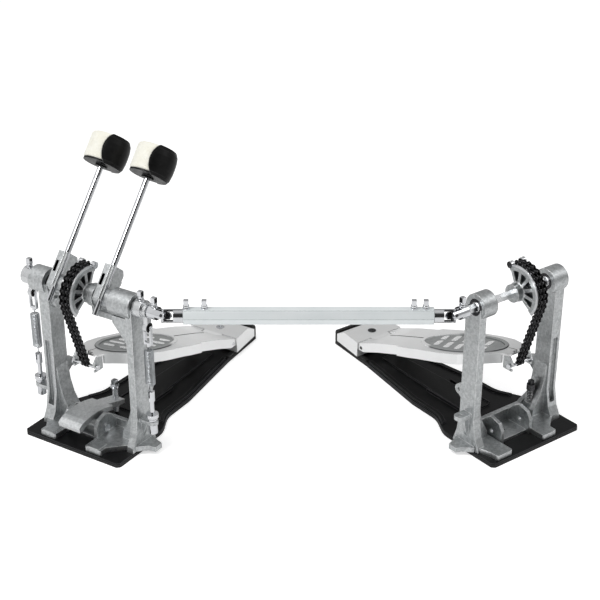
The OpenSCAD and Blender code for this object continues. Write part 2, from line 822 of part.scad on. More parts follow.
// The last peeling link has its far hole slotted, straight down at rest
link_slot = 0.56;
link_slot_angle = 270 - (leave_angle - link_step / 2 + 90);
module inner_link(slot = 0)
    for (side = [-1, 1])
        difference() {
            union() {
                link_plate(side * 0.6, side * (0.6 + link_t));
                link_plate(side * (0.6 + link_t + roller_w), side * (0.6 + 2 * link_t + roller_w));
                for (y = [0, pitch])
                    bar(side, side * (1 + link_t + roller_w), y, 0, roller_r);
            }
            for (y = [0, pitch])
                bar(0, side * 8, y, 0, chain_pin_r + fit);
            if (slot > 0)
                translate([0, pitch, 0])
                    rotate([link_slot_angle, 0, 0]) {
                        for (y = [0, slot])
                            bar(0, side * 8, y, 0, chain_pin_r + 2 * fit);
                        translate([min(0, side * 8), 0, -chain_pin_r - 2 * fit])
                            cube([8, slot, 2 * chain_pin_r + 4 * fit]);
                    }
        }

// Link i of the part of the chain that is wound on the cam
module wound_link(i, toe)
    at_shaft()
        translate([toe, cam_r * cos(anchor_angle + i * link_step),
            cam_r * sin(anchor_angle + i * link_step)])
            rotate([anchor_angle + (i + 0.5) * link_step + 90, 0, 0])
                if (i % 2 == 0)
                    outer_link(i == 0 ? cam_w / 2 + 2 : 6.5);
                else
                    inner_link(i == fixed_links + peel_links - 1 ? link_slot : 0);

module chain_on_cam(toe)
    color(dark)
        for (i = [0 : fixed_links - 1])
            wound_link(i, toe);

module chain_run(toe)
    color(dark)
        at_shaft()
            translate([toe, cam_r * cos(leave_angle), cam_r * sin(leave_angle)])
                rotate([leave_angle + 90, 0, 0]) {
                    for (i = [0 : run_links - 1])
                        translate([0, i * pitch, 0])
                            if (i % 2 == 0)
                                outer_link();
                            else
                                inner_link();
                    translate([0, run_links * pitch, 0]) {
                        bar(-7, 7, 0, 0, chain_pin_r);
                        for (side = [-1, 1]) {
                            bar(side * 6, side * (toe_span + 2.7), 0, 0, 2.2);
                            bar(side * (toe_span + 2.7), side * (toe_span + 4.7), 0, 0, 4);
                        }
                    }
                }

// Beaters, drawn upright over the shaft and then leaned back
module leaned()
    at_shaft()
        rotate([-beater_tilt, 0, 0])
            children();

// The rod sits in a groove at the side of the block; barrel is the tube on the shaft
module beater_hub(rod_x, barrel)
    color(cast)
        difference() {
            leaned()
                difference() {
                    union() {
                        slab(rod_x - 10.7, rod_x + 3.3)
                            polygon([[-15, -6], [-13, -9], [9, -9], [12, -5], [12, 34], [7, 40],
                                [-15, 40]]);
                        bar(barrel[0], barrel[1], 0, 0, 13);
                    }
                    translate([rod_x, -rod_offset, -30])
                        cylinder(r = rod_r, h = 100);
                    translate([rod_x - 9.2, -16, 12])
                        cube([4.6, 6, 15]);
                    translate([rod_x - 5.5, 8, 24])
                        rotate([-90, 0, 0])
                            cylinder(r = 2.5, h = 10);
                }
            at_shaft()
                shaft_hole(barrel[0] - 1, barrel[1] + 1);
        }

module beater_rod(rod_x)
    color(chrome)
        leaned()
            translate([rod_x, -rod_offset, -26])
                cylinder(r = rod_r, h = head_reach + 26 + felt_h / 2);

module head_frame(rod_x)
    leaned()
        translate([rod_x, -rod_offset, head_reach])
            rotate(head_turn)
                children();

module shell_space()
    translate([-head_r - 5, head_r + 7, felt_h / 2 + 2])
        rotate([0, 90, 0])
            cylinder(r = head_r + 6, h = 2 * head_r + 10);

module beater_felt(rod_x)
    color(cream)
        head_frame(rod_x)
            difference() {
                translate([0, 0, 2.5])
                    rotate_extrude()
                        polygon([[0, 0], [head_r - 1.5, 0], [head_r, 2], [head_r, felt_h - 4],
                            [head_r - 1.2, felt_h - 1.2], [head_r - 4, felt_h], [0, felt_h]]);
                shell_space();
                translate([0, 0, -5])
                    cylinder(r = rod_r, h = felt_h / 2 + 5);
                translate([0, 0, -1])
                    cylinder(r = rod_r + 3, h = 5);
            }

module beater_shell(rod_x)
    color(rubber)
        head_frame(rod_x)
            difference() {
                union() {
                    cylinder(r = head_r - 1, h = 2.5);
                    translate([0, 0, -3])
                        cylinder(r = 8, h = 3.5);
                    cylinder(r = rod_r + 3, h = 4);
                    intersection() {
                        shell_space();
                        translate([0, 0, -1])
                            rotate_extrude()
                                polygon([[0, 0], [head_r - 1, 0], [head_r + 1.5, 4],
                                    [head_r + 2.6, 12], [head_r + 2.8, 20], [head_r + 2.4, 28],
                                    [head_r + 1, 35], [head_r - 2, felt_h + 4],
                                    [0, felt_h + 4]]);
                    }
                }
                translate([0, 0, -10])
                    cylinder(r = rod_r, h = felt_h / 2 + 10);
            }

// Rockers and springs
module rocker(x0, x1, ring, out)
    color(steel)
        at_shaft()
            difference() {
                union() {
                    bar(x0, x1, 0, 0, 12);
                    bar(x1, out, 0, 0, 9);
                    slab(ring - 3, ring + 3) {
                        rotate(268)
                            translate([0, -4])
                                square([rocker_reach, 8]);
                        rotate(268)
                            translate([rocker_reach, 0])
                                circle(r = 6.6);
                    }
                }
                shaft_hole(x0 - 30, x1 + 30);
                bar(ring - 5, ring + 5, rocker_reach * cos(268), rocker_reach * sin(268), 4);
            }

function unit(v) = v / norm(v);
// Unbroken six-sided tube along points; across gives one direction across it at each point
module wire(points, across) {
    n = len(points);
    rings = [for (i = [0 : n - 1])
        let (t = unit(points[min(i + 1, n - 1)] - points[max(i - 1, 0)]),
            b = unit(cross(t, across[i])), a = cross(b, t))
        for (k = [0 : 5]) points[i] + wire_r * (a * cos(60 * k) + b * sin(60 * k))];
    sides = [for (i = [0 : n - 2], k = [0 : 5])
        [6 * i + k, 6 * i + (k + 1) % 6, 6 * i + 6 + (k + 1) % 6, 6 * i + 6 + k]];
    polyhedron(concat(rings), concat([[5, 4, 3, 2, 1, 0]],
        [for (s = sides) s], [[for (k = [0 : 5]) 6 * (n - 1) + k]]));
}

coil_z = 104;
coil_top = coil_z + coil_turns * coil_pitch;
steps = 8;
loop_r = 2.3;
loop_points = [for (a = [150 : 24 : 366]) [0, loop_r * cos(a), eye_z + loop_r * sin(a)]];
leg_points = [[0, 2, eye_z + 1.6], [0, 1.2, eye_z + 3.2], [0, 0.3, eye_z + 4.6],
    [0, 0, eye_z + 6.5], [0, 0, eye_z + 10], [0, 0, coil_z - 3]];
function coil_grow(t) = (1 - cos(180 * min(1, max(0, t)))) / 2;
coil_angles = [for (i = [-steps * 0.75 : coil_turns * steps + steps * 0.75]) i * 360 / steps];
function coil_point(a) =
    let (turn = a / 360,
        grow = coil_grow((turn + 0.75) / 0.75) * coil_grow((coil_turns + 0.75 - turn) / 0.75),
        rise = turn < 0 ? coil_z + turn * 4 :
            turn > coil_turns ? coil_top + (turn - coil_turns) * 4 : coil_z + turn * coil_pitch)
        [coil_r * grow * cos(a), coil_r * grow * sin(a), rise];
coil_points = concat(loop_points, leg_points, [for (a = coil_angles) coil_point(a)],
    [[0, 0, coil_top + 4.2], [0, 0, coil_top + 6]]);
last_angle = coil_angles[len(coil_angles) - 1];
coil_across = concat([for (p = loop_points) [1, 0, 0]], [for (p = leg_points) [1, 0, 0]],
    [for (a = coil_angles) [cos(a), sin(a), 0]],
    [[cos(last_angle), sin(last_angle), 0], [cos(last_angle), sin(last_angle), 0]]);
coil_gap = min([for (i = [30 : len(coil_angles) - 20])
    norm(coil_point(coil_angles[i]) - coil_point(coil_angles[i] + 360)) - 2 * wire_r]);
echo(spring_gap = coil_gap, springs = 2, turns = coil_turns);

module spring_coil(x)
    color(steel)
        translate([x, spring_y, 0])
            wire(coil_points, coil_across);

module spring_hook(x)
    color(chrome)
        difference() {
            union() {
                pillar(x, spring_y, coil_top + 5.5, coil_top + 9, 2.6);
                translate([x - 5.6, spring_y - 2.2, coil_top + 8])
                    cube([11.2, 4.4, 3]);
                for (side = [-1, 1])
                    slab(x + side * 3.6, x + side * 5.6) {
                        translate([spring_y - 2.2, coil_top + 8])
                            square([4.4, rocker_z - coil_top - 8]);
                        translate([spring_y, rocker_z])
                            circle(r = 3);
                    }
                bar(x - 6, x + 6, spring_y, rocker_z, 1.3);
            }
            pillar(x, spring_y, coil_top + 5, coil_top + 6, wire_r);
        }

// Universal joints. The barrel runs along +x from the joint, the pin holes run along y
fork_gap = 4.9;
arm_w = 4.6;
fork_base = 10.5;
module yoke(length, stub = 0, stub_r = bar_r)
    difference() {
        union() {
            bar(fork_base, length, 0, 0, yoke_r);
            if (stub > 0)
                bar(length - 1, length + stub, 0, 0, stub_r);
            intersection() {
                bar(-arm_w - 1, fork_base + 1, 0, 0, yoke_r);
                for (side = [-1, 1])
                    wall(min(side * fork_gap, side * 10), max(side * fork_gap, side * 10)) {
                        circle(r = arm_w);
                        translate([0, -arm_w])
                            square([fork_base + 0.5, 2 * arm_w]);
                    }
            }
        }
        translate([0, 12, 0])
            rotate([90, 0, 0])
                cylinder(r = cross_r + 0.2, h = 24);
    }

module cross()
    color(dark) {
        cube(2 * fork_gap - 0.8, center = true);
        for (turn = [0, 90])
            rotate([90 + turn, 0, 0])
                cylinder(r = cross_r, h = 2 * yoke_r - 1.2, center = true);
    }

module main_joint()
    place_main()
        translate([main_joint_x, shaft_y, shaft_z])
            children();

module slave_joint()
    place_slave()
        translate([-slave_joint_x, shaft_y, shaft_z])
            children();

function cross_tilt(bend, phase) = atan(tan(bend) * sin(phase));

bolt_spots = [26.3, 48.3, joint_span - 47.2, joint_span - 32.7];

module tube_bolt_place()
    for (x = bolt_spots)
        translate([x, 0, tube_af / 2])
            children();

module drive_tube()
    color(steel)
        place_joint(-1)
            difference() {
                rotate([30, 0, 0])
                    hex_bar(tube_gap, joint_span - tube_gap, 0, 0, tube_af);
                bar(tube_gap - 1, joint_span, 0, 0, bar_r + fit);
                tube_bolt_place()
                    translate([0, 0, -3])
                        cylinder(r = 2.5, h = 8);
            }

module drive_tube_yoke()
    color(chrome)
        place_joint(-1)
            rotate([tube_phase + 90, 0, 0])
                yoke(tube_gap, 28, bar_r + fit);

module tube_key_bolts()
    color(chrome)
        place_joint(-1)
            tube_bolt_place()
                key_bolt(3);

module slave_drive_bar()
    color(chrome)
        place_joint(1)
            rotate([90 - tube_phase, 0, 180])
                yoke(tube_gap - pass, 150);

// Hoop clamp
module hoop_clamp_jaw()
    color(cast)
        place_main()
            difference() {
                union() {
                    slab(jaw_x[0], jaw_x[1])
                        polygon([[5, 28.5], [4, 34], [6, 36.5], [11, 39], [18, 41], [34, 43],
                            [45, 42.6], [57, 40.6], [76, 35.5], [screw_y + 7, 27],
                            [screw_y + 7, 21], [screw_y - 8, 22.5], [74, 29], [58, 33.5],
                            [52, 29], [jaw_y + 5.5, jaw_z], [jaw_y - 5.5, jaw_z], [39, 30],
                            [34, 35.5], [20, 33.5], [9, 28.5]]);
                    bar(main_ears[0][1] + pass, main_ears[1][0] - pass, jaw_y, jaw_z, 5.9);
                }
                bar(-40, 40, jaw_y, jaw_z, jaw_pin_r + fit);
                pillar(screw_x, screw_y, 10, 40, screw_r + fit);
                for (x = [jaw_x[0] - 1, jaw_x[1] - 8])
                    translate([x, 72, 10])
                        cube([9, 60, 40]);
            }

module hoop_clamp_screw()
    color(chrome)
        place_main() {
            pillar(screw_x, screw_y, base_z + 4.1, 47, screw_r);
            translate([screw_x, screw_y, base_z + 4.1])
                sphere(r = screw_r);
            translate([screw_x, screw_y, 46])
                cylinder(r = 6, h = 3);
            translate([screw_x - 3.3, screw_y - 3.3, 48])
                cube([6.6, 6.6, 9]);
        }

// Named pieces of the main pedal
module main_base_plate() place_main() base_plate();
module main_mat_and_bumper() place_main() mat_and_bumper(84);
module main_heel_plate() place_main() heel_plate();
module main_bearings() place_main() bearings(main_bearing_places, main_bearing_widths);
module main_footboard() place_main() footboard(-chain_x);
module main_toe_clamp() place_main() toe_clamp(-chain_x);
module primary_shaft()
    place_main()
        shaft(-101, 14.6, [[-84, -76], [-68, -60], [11, 14.4]]);
module main_cam() place_main() cam(-chain_x, 1, ring_x[0] - pass);
module main_chain_on_cam() place_main() chain_on_cam(-chain_x);
module main_chain_link_1() color(dark) place_main() wound_link(fixed_links, -chain_x);
module main_chain_link_2() color(dark) place_main() wound_link(fixed_links + 1, -chain_x);
module main_chain_link_3() color(dark) place_main() wound_link(fixed_links + 2, -chain_x);
module main_chain_link_4() color(dark) place_main() wound_link(fixed_links + 3, -chain_x);
module main_chain_run() place_main() chain_run(-chain_x);

module outer_rocker()
    place_main()
        difference() {
            rocker(-101, -88, outer_spring_x, -87.5);
            rocker_bolt(-94.5);
        }
module rocker_bolt(x)
    translate([x, shaft_y, shaft_z + 8])
        cylinder(r = 2.5, h = 8);
module outer_beater_hub() place_main() beater_hub(outer_rod_x, [-53.5, -17]);
module outer_beater_rod() place_main() beater_rod(outer_rod_x);
module outer_beater_felt() place_main() beater_felt(outer_rod_x);
module outer_beater_shell() place_main() beater_shell(outer_rod_x);
module hub_bolt(rod_x)
    leaned()
        translate([rod_x - 5.5, 12, 24])
            rotate([-90, 0, 0])
                key_bolt(4, 3, 6);
module anchor_bolt(toe)
    at_shaft()
        for (side = [-1, 1])
            bar(toe + side * (cam_w / 2 + 2), toe + side * (cam_w / 2 + 6),
                cam_r * cos(anchor_angle), cam_r * sin(anchor_angle), 4.6);
module primary_key_bolts()
    color(chrome)
        place_main() {
            translate([-94.5, shaft_y, shaft_z + 12])
                key_bolt();
            hub_bolt(outer_rod_x);
            anchor_bolt(-chain_x);
        }

module secondary_shaft()
    place_main()
        shaft(15.2, main_joint_x - fork_base - 1, [[15.4, 19], [45, 53], [70, 78]]);
module inner_rocker()
    place_main()
        difference() {
            rocker(79.4, 92, inner_spring_x, 98);
            rocker_bolt(86);
        }
module inner_beater_hub() place_main() beater_hub(inner_rod_x, [20, 43]);
module inner_beater_rod() place_main() beater_rod(inner_rod_x);
module inner_beater_felt() place_main() beater_felt(inner_rod_x);
module inner_beater_shell() place_main() beater_shell(inner_rod_x);
module yoke_bolt_hole()
    translate([0, 0, yoke_r - 2])
        cylinder(r = 2.5, h = 8);
module secondary_key_bolts()
    color(chrome)
        place_main() {
            translate([86, shaft_y, shaft_z + 12])
                key_bolt();
            hub_bolt(inner_rod_x);
            translate([main_joint_x - 16, shaft_y, shaft_z + yoke_r])
                key_bolt(2);
        }
module main_shaft_yoke()
    color(chrome)
        main_joint()
            difference() {
                rotate([-main_phase, 0, 180])
                    yoke(22);
                hex_bar(-30, -fork_base - 1, 0, 0, shaft_af);
                translate([-16, 0, 0])
                    yoke_bolt_hole();
            }
module main_joint_cross()
    main_joint()
        rotate([main_phase, 0, 0])
            rotate([0, cross_tilt(main_bend, main_phase), 0])
                cross();
module outer_spring_coil() place_main() spring_coil(outer_spring_x);
module outer_spring_hook() place_main() spring_hook(outer_spring_x);
module inner_spring_coil() place_main() spring_coil(inner_spring_x);
module inner_spring_hook() place_main() spring_hook(inner_spring_x);

// Named pieces of the slave pedal
module slave_joint_cross()
    slave_joint()
        rotate([slave_phase, 0, 0])
            rotate([0, cross_tilt(slave_bend, slave_phase), 0])
                cross();
module slave_base_plate() place_slave() base_plate();
module slave_mat_and_bumper() place_slave() mat_and_bumper(-84);
module slave_heel_plate() place_slave() heel_plate();
module slave_bearings() place_slave() bearings(slave_bearing_places, slave_bearing_widths);
module slave_footboard() place_slave() footboard(chain_x);
module slave_toe_clamp() place_slave() toe_clamp(chain_x);
module slave_shaft()
    place_slave()
        shaft(fork_base + 1 - slave_joint_x, 72.8,
            [for (i = [0 : 3]) [slave_bearing_places[i],
                slave_bearing_places[i] + slave_bearing_widths[i]]]);
module slave_cam() place_slave() cam(chain_x, -1, -12);
module slave_chain_on_cam() place_slave() chain_on_cam(chain_x);
module slave_shaft_yoke()
    color(chrome)
        slave_joint()
            difference() {
                rotate([slave_phase, 0, 0])
                    yoke(22);
                hex_bar(fork_base + 1, 30, 0, 0, shaft_af);
                translate([16, 0, 0])
                    yoke_bolt_hole();
            }
module slave_key_bolts()
    color(chrome)
        place_slave() {
            translate([16 - slave_joint_x, shaft_y, shaft_z + yoke_r])
                key_bolt(2);
            anchor_bolt(chain_x);
        }
module slave_chain_link_1() color(dark) place_slave() wound_link(fixed_links, chain_x);
module slave_chain_link_2() color(dark) place_slave() wound_link(fixed_links + 1, chain_x);
module slave_chain_link_3() color(dark) place_slave() wound_link(fixed_links + 2, chain_x);
module slave_chain_link_4() color(dark) place_slave() wound_link(fixed_links + 3, chain_x);
module slave_chain_run() place_slave() chain_run(chain_x);

main_frame();
main_base_plate();
main_mat_and_bumper();
main_heel_plate();
main_fasteners();
main_bearings();
main_footboard();
main_toe_clamp();
primary_shaft();
main_cam();
main_chain_on_cam();
main_chain_link_1();
main_chain_link_2();
main_chain_link_3();
main_chain_link_4();
main_chain_run();
outer_rocker();
outer_beater_hub();
outer_beater_rod();
outer_beater_felt();
outer_beater_shell();
primary_key_bolts();
secondary_shaft();
inner_rocker();
inner_beater_hub();
inner_beater_rod();
inner_beater_felt();
inner_beater_shell();
secondary_key_bolts();
main_shaft_yoke();
main_joint_cross();
drive_tube();
drive_tube_yoke();
tube_key_bolts();
outer_spring_coil();
outer_spring_hook();
inner_spring_coil();
inner_spring_hook();
hoop_clamp_jaw();
hoop_clamp_screw();
slave_drive_bar();
slave_joint_cross();
slave_frame();
slave_base_plate();
slave_mat_and_bumper();
slave_heel_plate();
slave_fasteners();
slave_bearings();
slave_footboard();
slave_toe_clamp();
slave_shaft();
slave_cam();
slave_chain_on_cam();
slave_shaft_yoke();
slave_key_bolts();
slave_chain_link_1();
slave_chain_link_2();
slave_chain_link_3();
slave_chain_link_4();
slave_chain_run();
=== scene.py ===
# %% [markdown]
# Double bass drum pedal. OpenSCAD made every rigid piece at its true size, and the frame brings
# those pieces in, each riding on its body of the mechanism. This file gives them their finishes,
# and models what is soft or too fine for the solid model. All lengths here are metres unless a
# name says mm.

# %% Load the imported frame
import bmesh
import bpy
import json
from math import atan2, cos, pi, radians, sin, sqrt
from mathutils import Matrix, Vector

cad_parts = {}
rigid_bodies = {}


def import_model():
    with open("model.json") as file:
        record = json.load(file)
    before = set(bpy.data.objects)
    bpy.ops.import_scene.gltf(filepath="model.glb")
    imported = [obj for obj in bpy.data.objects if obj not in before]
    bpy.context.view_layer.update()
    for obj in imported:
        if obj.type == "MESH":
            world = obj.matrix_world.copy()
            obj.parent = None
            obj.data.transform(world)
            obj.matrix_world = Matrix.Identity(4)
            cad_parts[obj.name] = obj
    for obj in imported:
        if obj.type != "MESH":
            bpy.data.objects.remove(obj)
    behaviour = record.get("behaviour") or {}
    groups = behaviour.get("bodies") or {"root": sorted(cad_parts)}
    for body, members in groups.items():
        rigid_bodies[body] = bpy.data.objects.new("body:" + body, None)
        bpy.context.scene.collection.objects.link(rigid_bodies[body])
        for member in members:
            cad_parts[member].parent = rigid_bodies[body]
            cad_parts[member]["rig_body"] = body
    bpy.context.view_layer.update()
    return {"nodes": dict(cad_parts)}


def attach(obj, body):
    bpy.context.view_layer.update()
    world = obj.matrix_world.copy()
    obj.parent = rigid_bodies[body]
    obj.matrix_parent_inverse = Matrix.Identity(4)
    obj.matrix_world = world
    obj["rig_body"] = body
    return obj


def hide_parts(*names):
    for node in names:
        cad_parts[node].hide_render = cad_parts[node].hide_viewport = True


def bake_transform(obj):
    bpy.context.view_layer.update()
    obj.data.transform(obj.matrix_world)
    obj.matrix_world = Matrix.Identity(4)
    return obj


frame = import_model()

# %% [markdown]
# The photograph looks at the pedal from the drum side and from above. A long lens keeps the two
# pedals almost free of perspective. The camera stands 1.7 m away and looks down by 26.5 degrees.

# %% Camera
IMAGE_WIDTH_PX = 600
FOCAL_PX = 1378.25
camera_data = bpy.data.cameras.new("camera")
camera_data.sensor_width = 36.0
camera_data.lens = FOCAL_PX * camera_data.sensor_width / IMAGE_WIDTH_PX
camera_data.clip_start = 0.05
camera = bpy.data.objects.new("camera", camera_data)
camera.location = (-0.0036, -1.6636, 0.9726)
camera.rotation_euler = (radians(63.5), 0, 0)
bpy.context.scene.collection.objects.link(camera)
bpy.context.scene.camera = camera
bpy.context.scene.view_settings.view_transform = "Standard"
print("lens", round(camera_data.lens, 2), "mm")

# %% [markdown]
# Node trees repeat the same few moves, so one helper adds a node and sets it, and another joins
# two sockets. A keyword that is an input's name sets that input, and any other keyword sets a
# property. A Mix node has sockets for every kind of value, and three of them are for colours.

# %% Helpers for node trees
MIX_FIRST, MIX_SECOND, MIX_COLOUR = 6, 7, 2


def add(tree, kind, **settings):
    node = tree.nodes.new(kind)
    for key, value in settings.items():
        if key in node.inputs:
            node.inputs[key].default_value = value
        else:
            setattr(node, key, value)
    return node


def join(tree, source, target):
    tree.links.new(source, target)


def ramp(tree, value, stops):
    """Colours or greys along a value; stops are (place, colour) pairs."""
    node = add(tree, "ShaderNodeValToRGB")
    elements = node.color_ramp.elements
    while len(elements) < len(stops):
        elements.new(0.5)
    for element, (place, colour) in zip(elements, stops):
        element.position = place
        element.color = (*colour, 1) if len(colour) == 3 else colour
    join(tree, value, node.inputs["Fac"])
    return node.outputs["Color"]


def grey(value):
    return (value, value, value)


def calc(tree, operation, *values):
    """One Math node; each value is a number or another node's output."""
    node = add(tree, "ShaderNodeMath", operation=operation)
    for socket, value in zip(node.inputs, values):
        if isinstance(value, bpy.types.NodeSocket):
            join(tree, value, socket)
        else:
            socket.default_value = value
    return node.outputs[0]


def rise(tree, value, start, end):
    """0 at start, 1 at end, and straight between them."""
    node = add(tree, "ShaderNodeMapRange")
    node.inputs["From Min"].default_value = start
    node.inputs["From Max"].default_value = end
    join(tree, value, node.inputs["Value"])
    return node.outputs["Result"]


def band(tree, value, low, high, soft=0.15):
    """1 between low and high, 0 outside."""
    return calc(tree, "MULTIPLY", rise(tree, value, low, low + soft),
                rise(tree, value, high, high - soft))


print("node helpers: add, join, ramp, grey, calc, rise, band")

# %% [markdown]
# A finished piece is an object at the origin whose mesh holds its place. These helpers turn a
# bmesh into a mesh, put an object in the scene, and let a piece move with the body of a CAD node.

# %% Helpers for objects
def mesh_of(bm, name):
    mesh = bpy.data.meshes.new(name)
    bm.to_mesh(mesh)
    bm.free()
    return mesh


def in_scene(name, data):
    obj = bpy.data.objects.new(name, data)
    bpy.context.scene.collection.objects.link(obj)
    return obj


def ride_with(piece, node):
    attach(piece, frame["nodes"][node]["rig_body"])


print("object helpers: mesh_of, in_scene, ride_with")

# %% [markdown]
# Polished metal shows what stands around it, so the room matters as much as the lamps. The floor
# and the backdrop are pale, and the right side of the room is dimmer than the left. Round the
# camera the studio is unlit: a rod faces the camera only along its middle, so that dark spot
# draws the dark line down each beater rod. Camera rays see plain white wherever the floor ends.

# %% World
AMBIENT = 0.48
TO_CAMERA = (0.0, -0.87, 0.49)
ROOM = [(0.0, 0.42), (0.35, 0.62), (0.55, 0.95), (0.84, 0.80), (0.93, 0.10), (1.0, 0.04)]
LEFT_TO_RIGHT = [(0.0, 1.0), (1.0, 0.45)]


def greys(stops):
    return [(place, grey(value)) for place, value in stops]


def reflected_room(tree, direction):
    """What polished metal meets: darkest towards the camera, dimmer on the right."""
    unlit = add(tree, "ShaderNodeVectorMath", operation="DOT_PRODUCT")
    join(tree, direction, unlit.inputs[0])
    unlit.inputs[1].default_value = TO_CAMERA
    split = add(tree, "ShaderNodeSeparateXYZ")
    join(tree, direction, split.inputs[0])
    room = ramp(tree, rise(tree, unlit.outputs["Value"], -1.0, 1.0), greys(ROOM))
    side = ramp(tree, rise(tree, split.outputs["X"], -0.5, 0.9), greys(LEFT_TO_RIGHT))
    seen = add(tree, "ShaderNodeMix", data_type="RGBA", blend_type="MULTIPLY")
    seen.inputs[0].default_value = 1.0
    join(tree, room, seen.inputs[MIX_FIRST])
    join(tree, side, seen.inputs[MIX_SECOND])
    return seen.outputs[MIX_COLOUR]


def studio_world():
    world = bpy.data.worlds.new("studio")
    world.use_nodes = True
    tree = world.node_tree
    tree.nodes.clear()
    out = add(tree, "ShaderNodeOutputWorld")
    light_path = add(tree, "ShaderNodeLightPath")
    direction = add(tree, "ShaderNodeTexCoord").outputs["Generated"]
    mirrored = add(tree, "ShaderNodeMix", data_type="RGBA")
    mirrored.inputs[MIX_FIRST].default_value = (1, 1, 1, 1)
    join(tree, light_path.outputs["Is Glossy Ray"], mirrored.inputs[0])
    join(tree, reflected_room(tree, direction), mirrored.inputs[MIX_SECOND])
    ambient = add(tree, "ShaderNodeBackground", Strength=AMBIENT)
    ambient.inputs["Color"].default_value = (1, 1, 1, 1)
    backdrop = add(tree, "ShaderNodeBackground", Strength=1.0)
    join(tree, mirrored.outputs[MIX_COLOUR], backdrop.inputs["Color"])
    direct = calc(tree, "MAXIMUM", light_path.outputs["Is Camera Ray"],
                  light_path.outputs["Is Glossy Ray"])
    both = calc(tree, "MAXIMUM", direct, light_path.outputs["Is Transmission Ray"])
    mix = add(tree, "ShaderNodeMixShader")
    join(tree, both, mix.inputs["Fac"])
    join(tree, ambient.outputs[0], mix.inputs[1])
    join(tree, backdrop.outputs[0], mix.inputs[2])
    join(tree, mix.outputs[0], out.inputs["Surface"])
    bpy.context.scene.world = world
    print("world nodes:", len(tree.nodes))


studio_world()

# %% [markdown]
# One wide soft lamp hangs to the upper left, as the highlights on the posts show, and a weaker
# one fills the right.

# %% Lamps
SUBJECT = (0, 0, 0.1)


def soft_lamp(name, place, size, watts):
    data = bpy.data.lights.new(name, "AREA")
    data.shape = "DISK"
    data.size = size
    data.energy = watts
    lamp = in_scene(name, data)
    lamp.location = place
    aim = Vector(SUBJECT) - Vector(place)
    lamp.rotation_euler = aim.to_track_quat("-Z", "Y").to_euler()
    print(name, "lamp:", watts, "W,", size, "m wide")


soft_lamp("key", (-0.9, -0.9, 1.9), size=0.9, watts=21)
soft_lamp("fill", (1.5, -0.2, 1.5), size=1.2, watts=6)

# %% [markdown]
# The floor is a plain white sheet that only has to catch a soft shadow. The photograph's
# background is pure white, but lamps strong enough to make a floor that white would burn out the
# metal. So the floor glows a little for camera rays, and less still for glossy rays, because
# chrome with nothing dark to mirror would vanish against the white.

# %% Floor
FLOOR_HALF, FLOOR_GLOW, FLOOR_MIRRORED = 12, 0.52, 0.12


def white_floor():
    bm = bmesh.new()
    bmesh.ops.create_grid(bm, x_segments=1, y_segments=1, size=FLOOR_HALF)
    floor = in_scene("floor", mesh_of(bm, "floor"))
    mat = bpy.data.materials.new("white_sheet")
    mat.use_nodes = True
    tree = mat.node_tree
    sheet = tree.nodes["Principled BSDF"]
    sheet.inputs["Base Color"].default_value = (0.93, 0.93, 0.93, 1)
    sheet.inputs["Roughness"].default_value = 0.9
    sheet.inputs["Specular IOR Level"].default_value = 0.1
    glow = add(tree, "ShaderNodeEmission")
    light_path = add(tree, "ShaderNodeLightPath")
    seen = calc(tree, "MULTIPLY", light_path.outputs["Is Camera Ray"], FLOOR_GLOW)
    mirrored = calc(tree, "MULTIPLY", light_path.outputs["Is Glossy Ray"], FLOOR_MIRRORED)
    join(tree, calc(tree, "ADD", seen, mirrored), glow.inputs["Strength"])
    both = add(tree, "ShaderNodeAddShader")
    join(tree, sheet.outputs[0], both.inputs[0])
    join(tree, glow.outputs[0], both.inputs[1])
    join(tree, both.outputs[0], tree.nodes["Material Output"].inputs["Surface"])
    floor.data.materials.append(mat)
    print("floor:", 2 * FLOOR_HALF, "m wide")


white_floor()

# %% [markdown]
# Both pedals were drawn square to their own axes and then turned to where they stand. These two
# matrices carry a point from a pedal's own millimetres to the row frame, and their inverses bring
# a pattern's coordinates back, so that a pattern can be centred on a footboard.

# %% Where each pedal stands
MM = 0.001
SHAFT_Y_MM, SHAFT_Z_MM = 54.0, 207.0
JOINT_SPAN_MM, OUTLINE_X_MM, OUTLINE_Y_MM = 350.0, -6.9, 171.0
MAIN_TURN, SLAVE_TURN = 57.8, 53.0
MAIN_JOINT_X_MM, SLAVE_JOINT_X_MM = 122.5, 113.0
CHAIN_X_MM = {"main": -6, "slave": 6}


def stand(joint_x_mm, turn, own_x_mm):
    place = Matrix.Translation((joint_x_mm - OUTLINE_X_MM, -OUTLINE_Y_MM, 0))
    back = Matrix.Translation((own_x_mm, -SHAFT_Y_MM, 0))
    return Matrix.Scale(MM, 4) @ place @ Matrix.Rotation(radians(turn), 4, "Z") @ back


STAND = {
    "main": stand(-JOINT_SPAN_MM / 2, MAIN_TURN - 90, -MAIN_JOINT_X_MM),
    "slave": stand(JOINT_SPAN_MM / 2, 90 - SLAVE_TURN, SLAVE_JOINT_X_MM),
}
for side, matrix in STAND.items():
    print(side, "shaft middle", [round(c, 4) for c in matrix @ Vector((0, SHAFT_Y_MM, SHAFT_Z_MM))])


def pedal_mm(tree, place, side, lean=0.0):
    """x, y and z of a shaded point in the pedal's millimetres; lean turns them round the shaft."""
    frame_mm = STAND[side]
    if lean:
        shaft = Matrix.Translation((0, SHAFT_Y_MM, SHAFT_Z_MM))
        frame_mm = frame_mm @ shaft @ Matrix.Rotation(radians(-lean), 4, "X")
    moved, turned, scaled = frame_mm.inverted().decompose()
    lay = add(tree, "ShaderNodeMapping")
    lay.inputs["Location"].default_value = moved
    lay.inputs["Rotation"].default_value = turned.to_euler()
    lay.inputs["Scale"].default_value = scaled
    join(tree, place, lay.inputs["Vector"])
    split = add(tree, "ShaderNodeSeparateXYZ")
    join(tree, lay.outputs["Vector"], split.inputs[0])
    return split.outputs


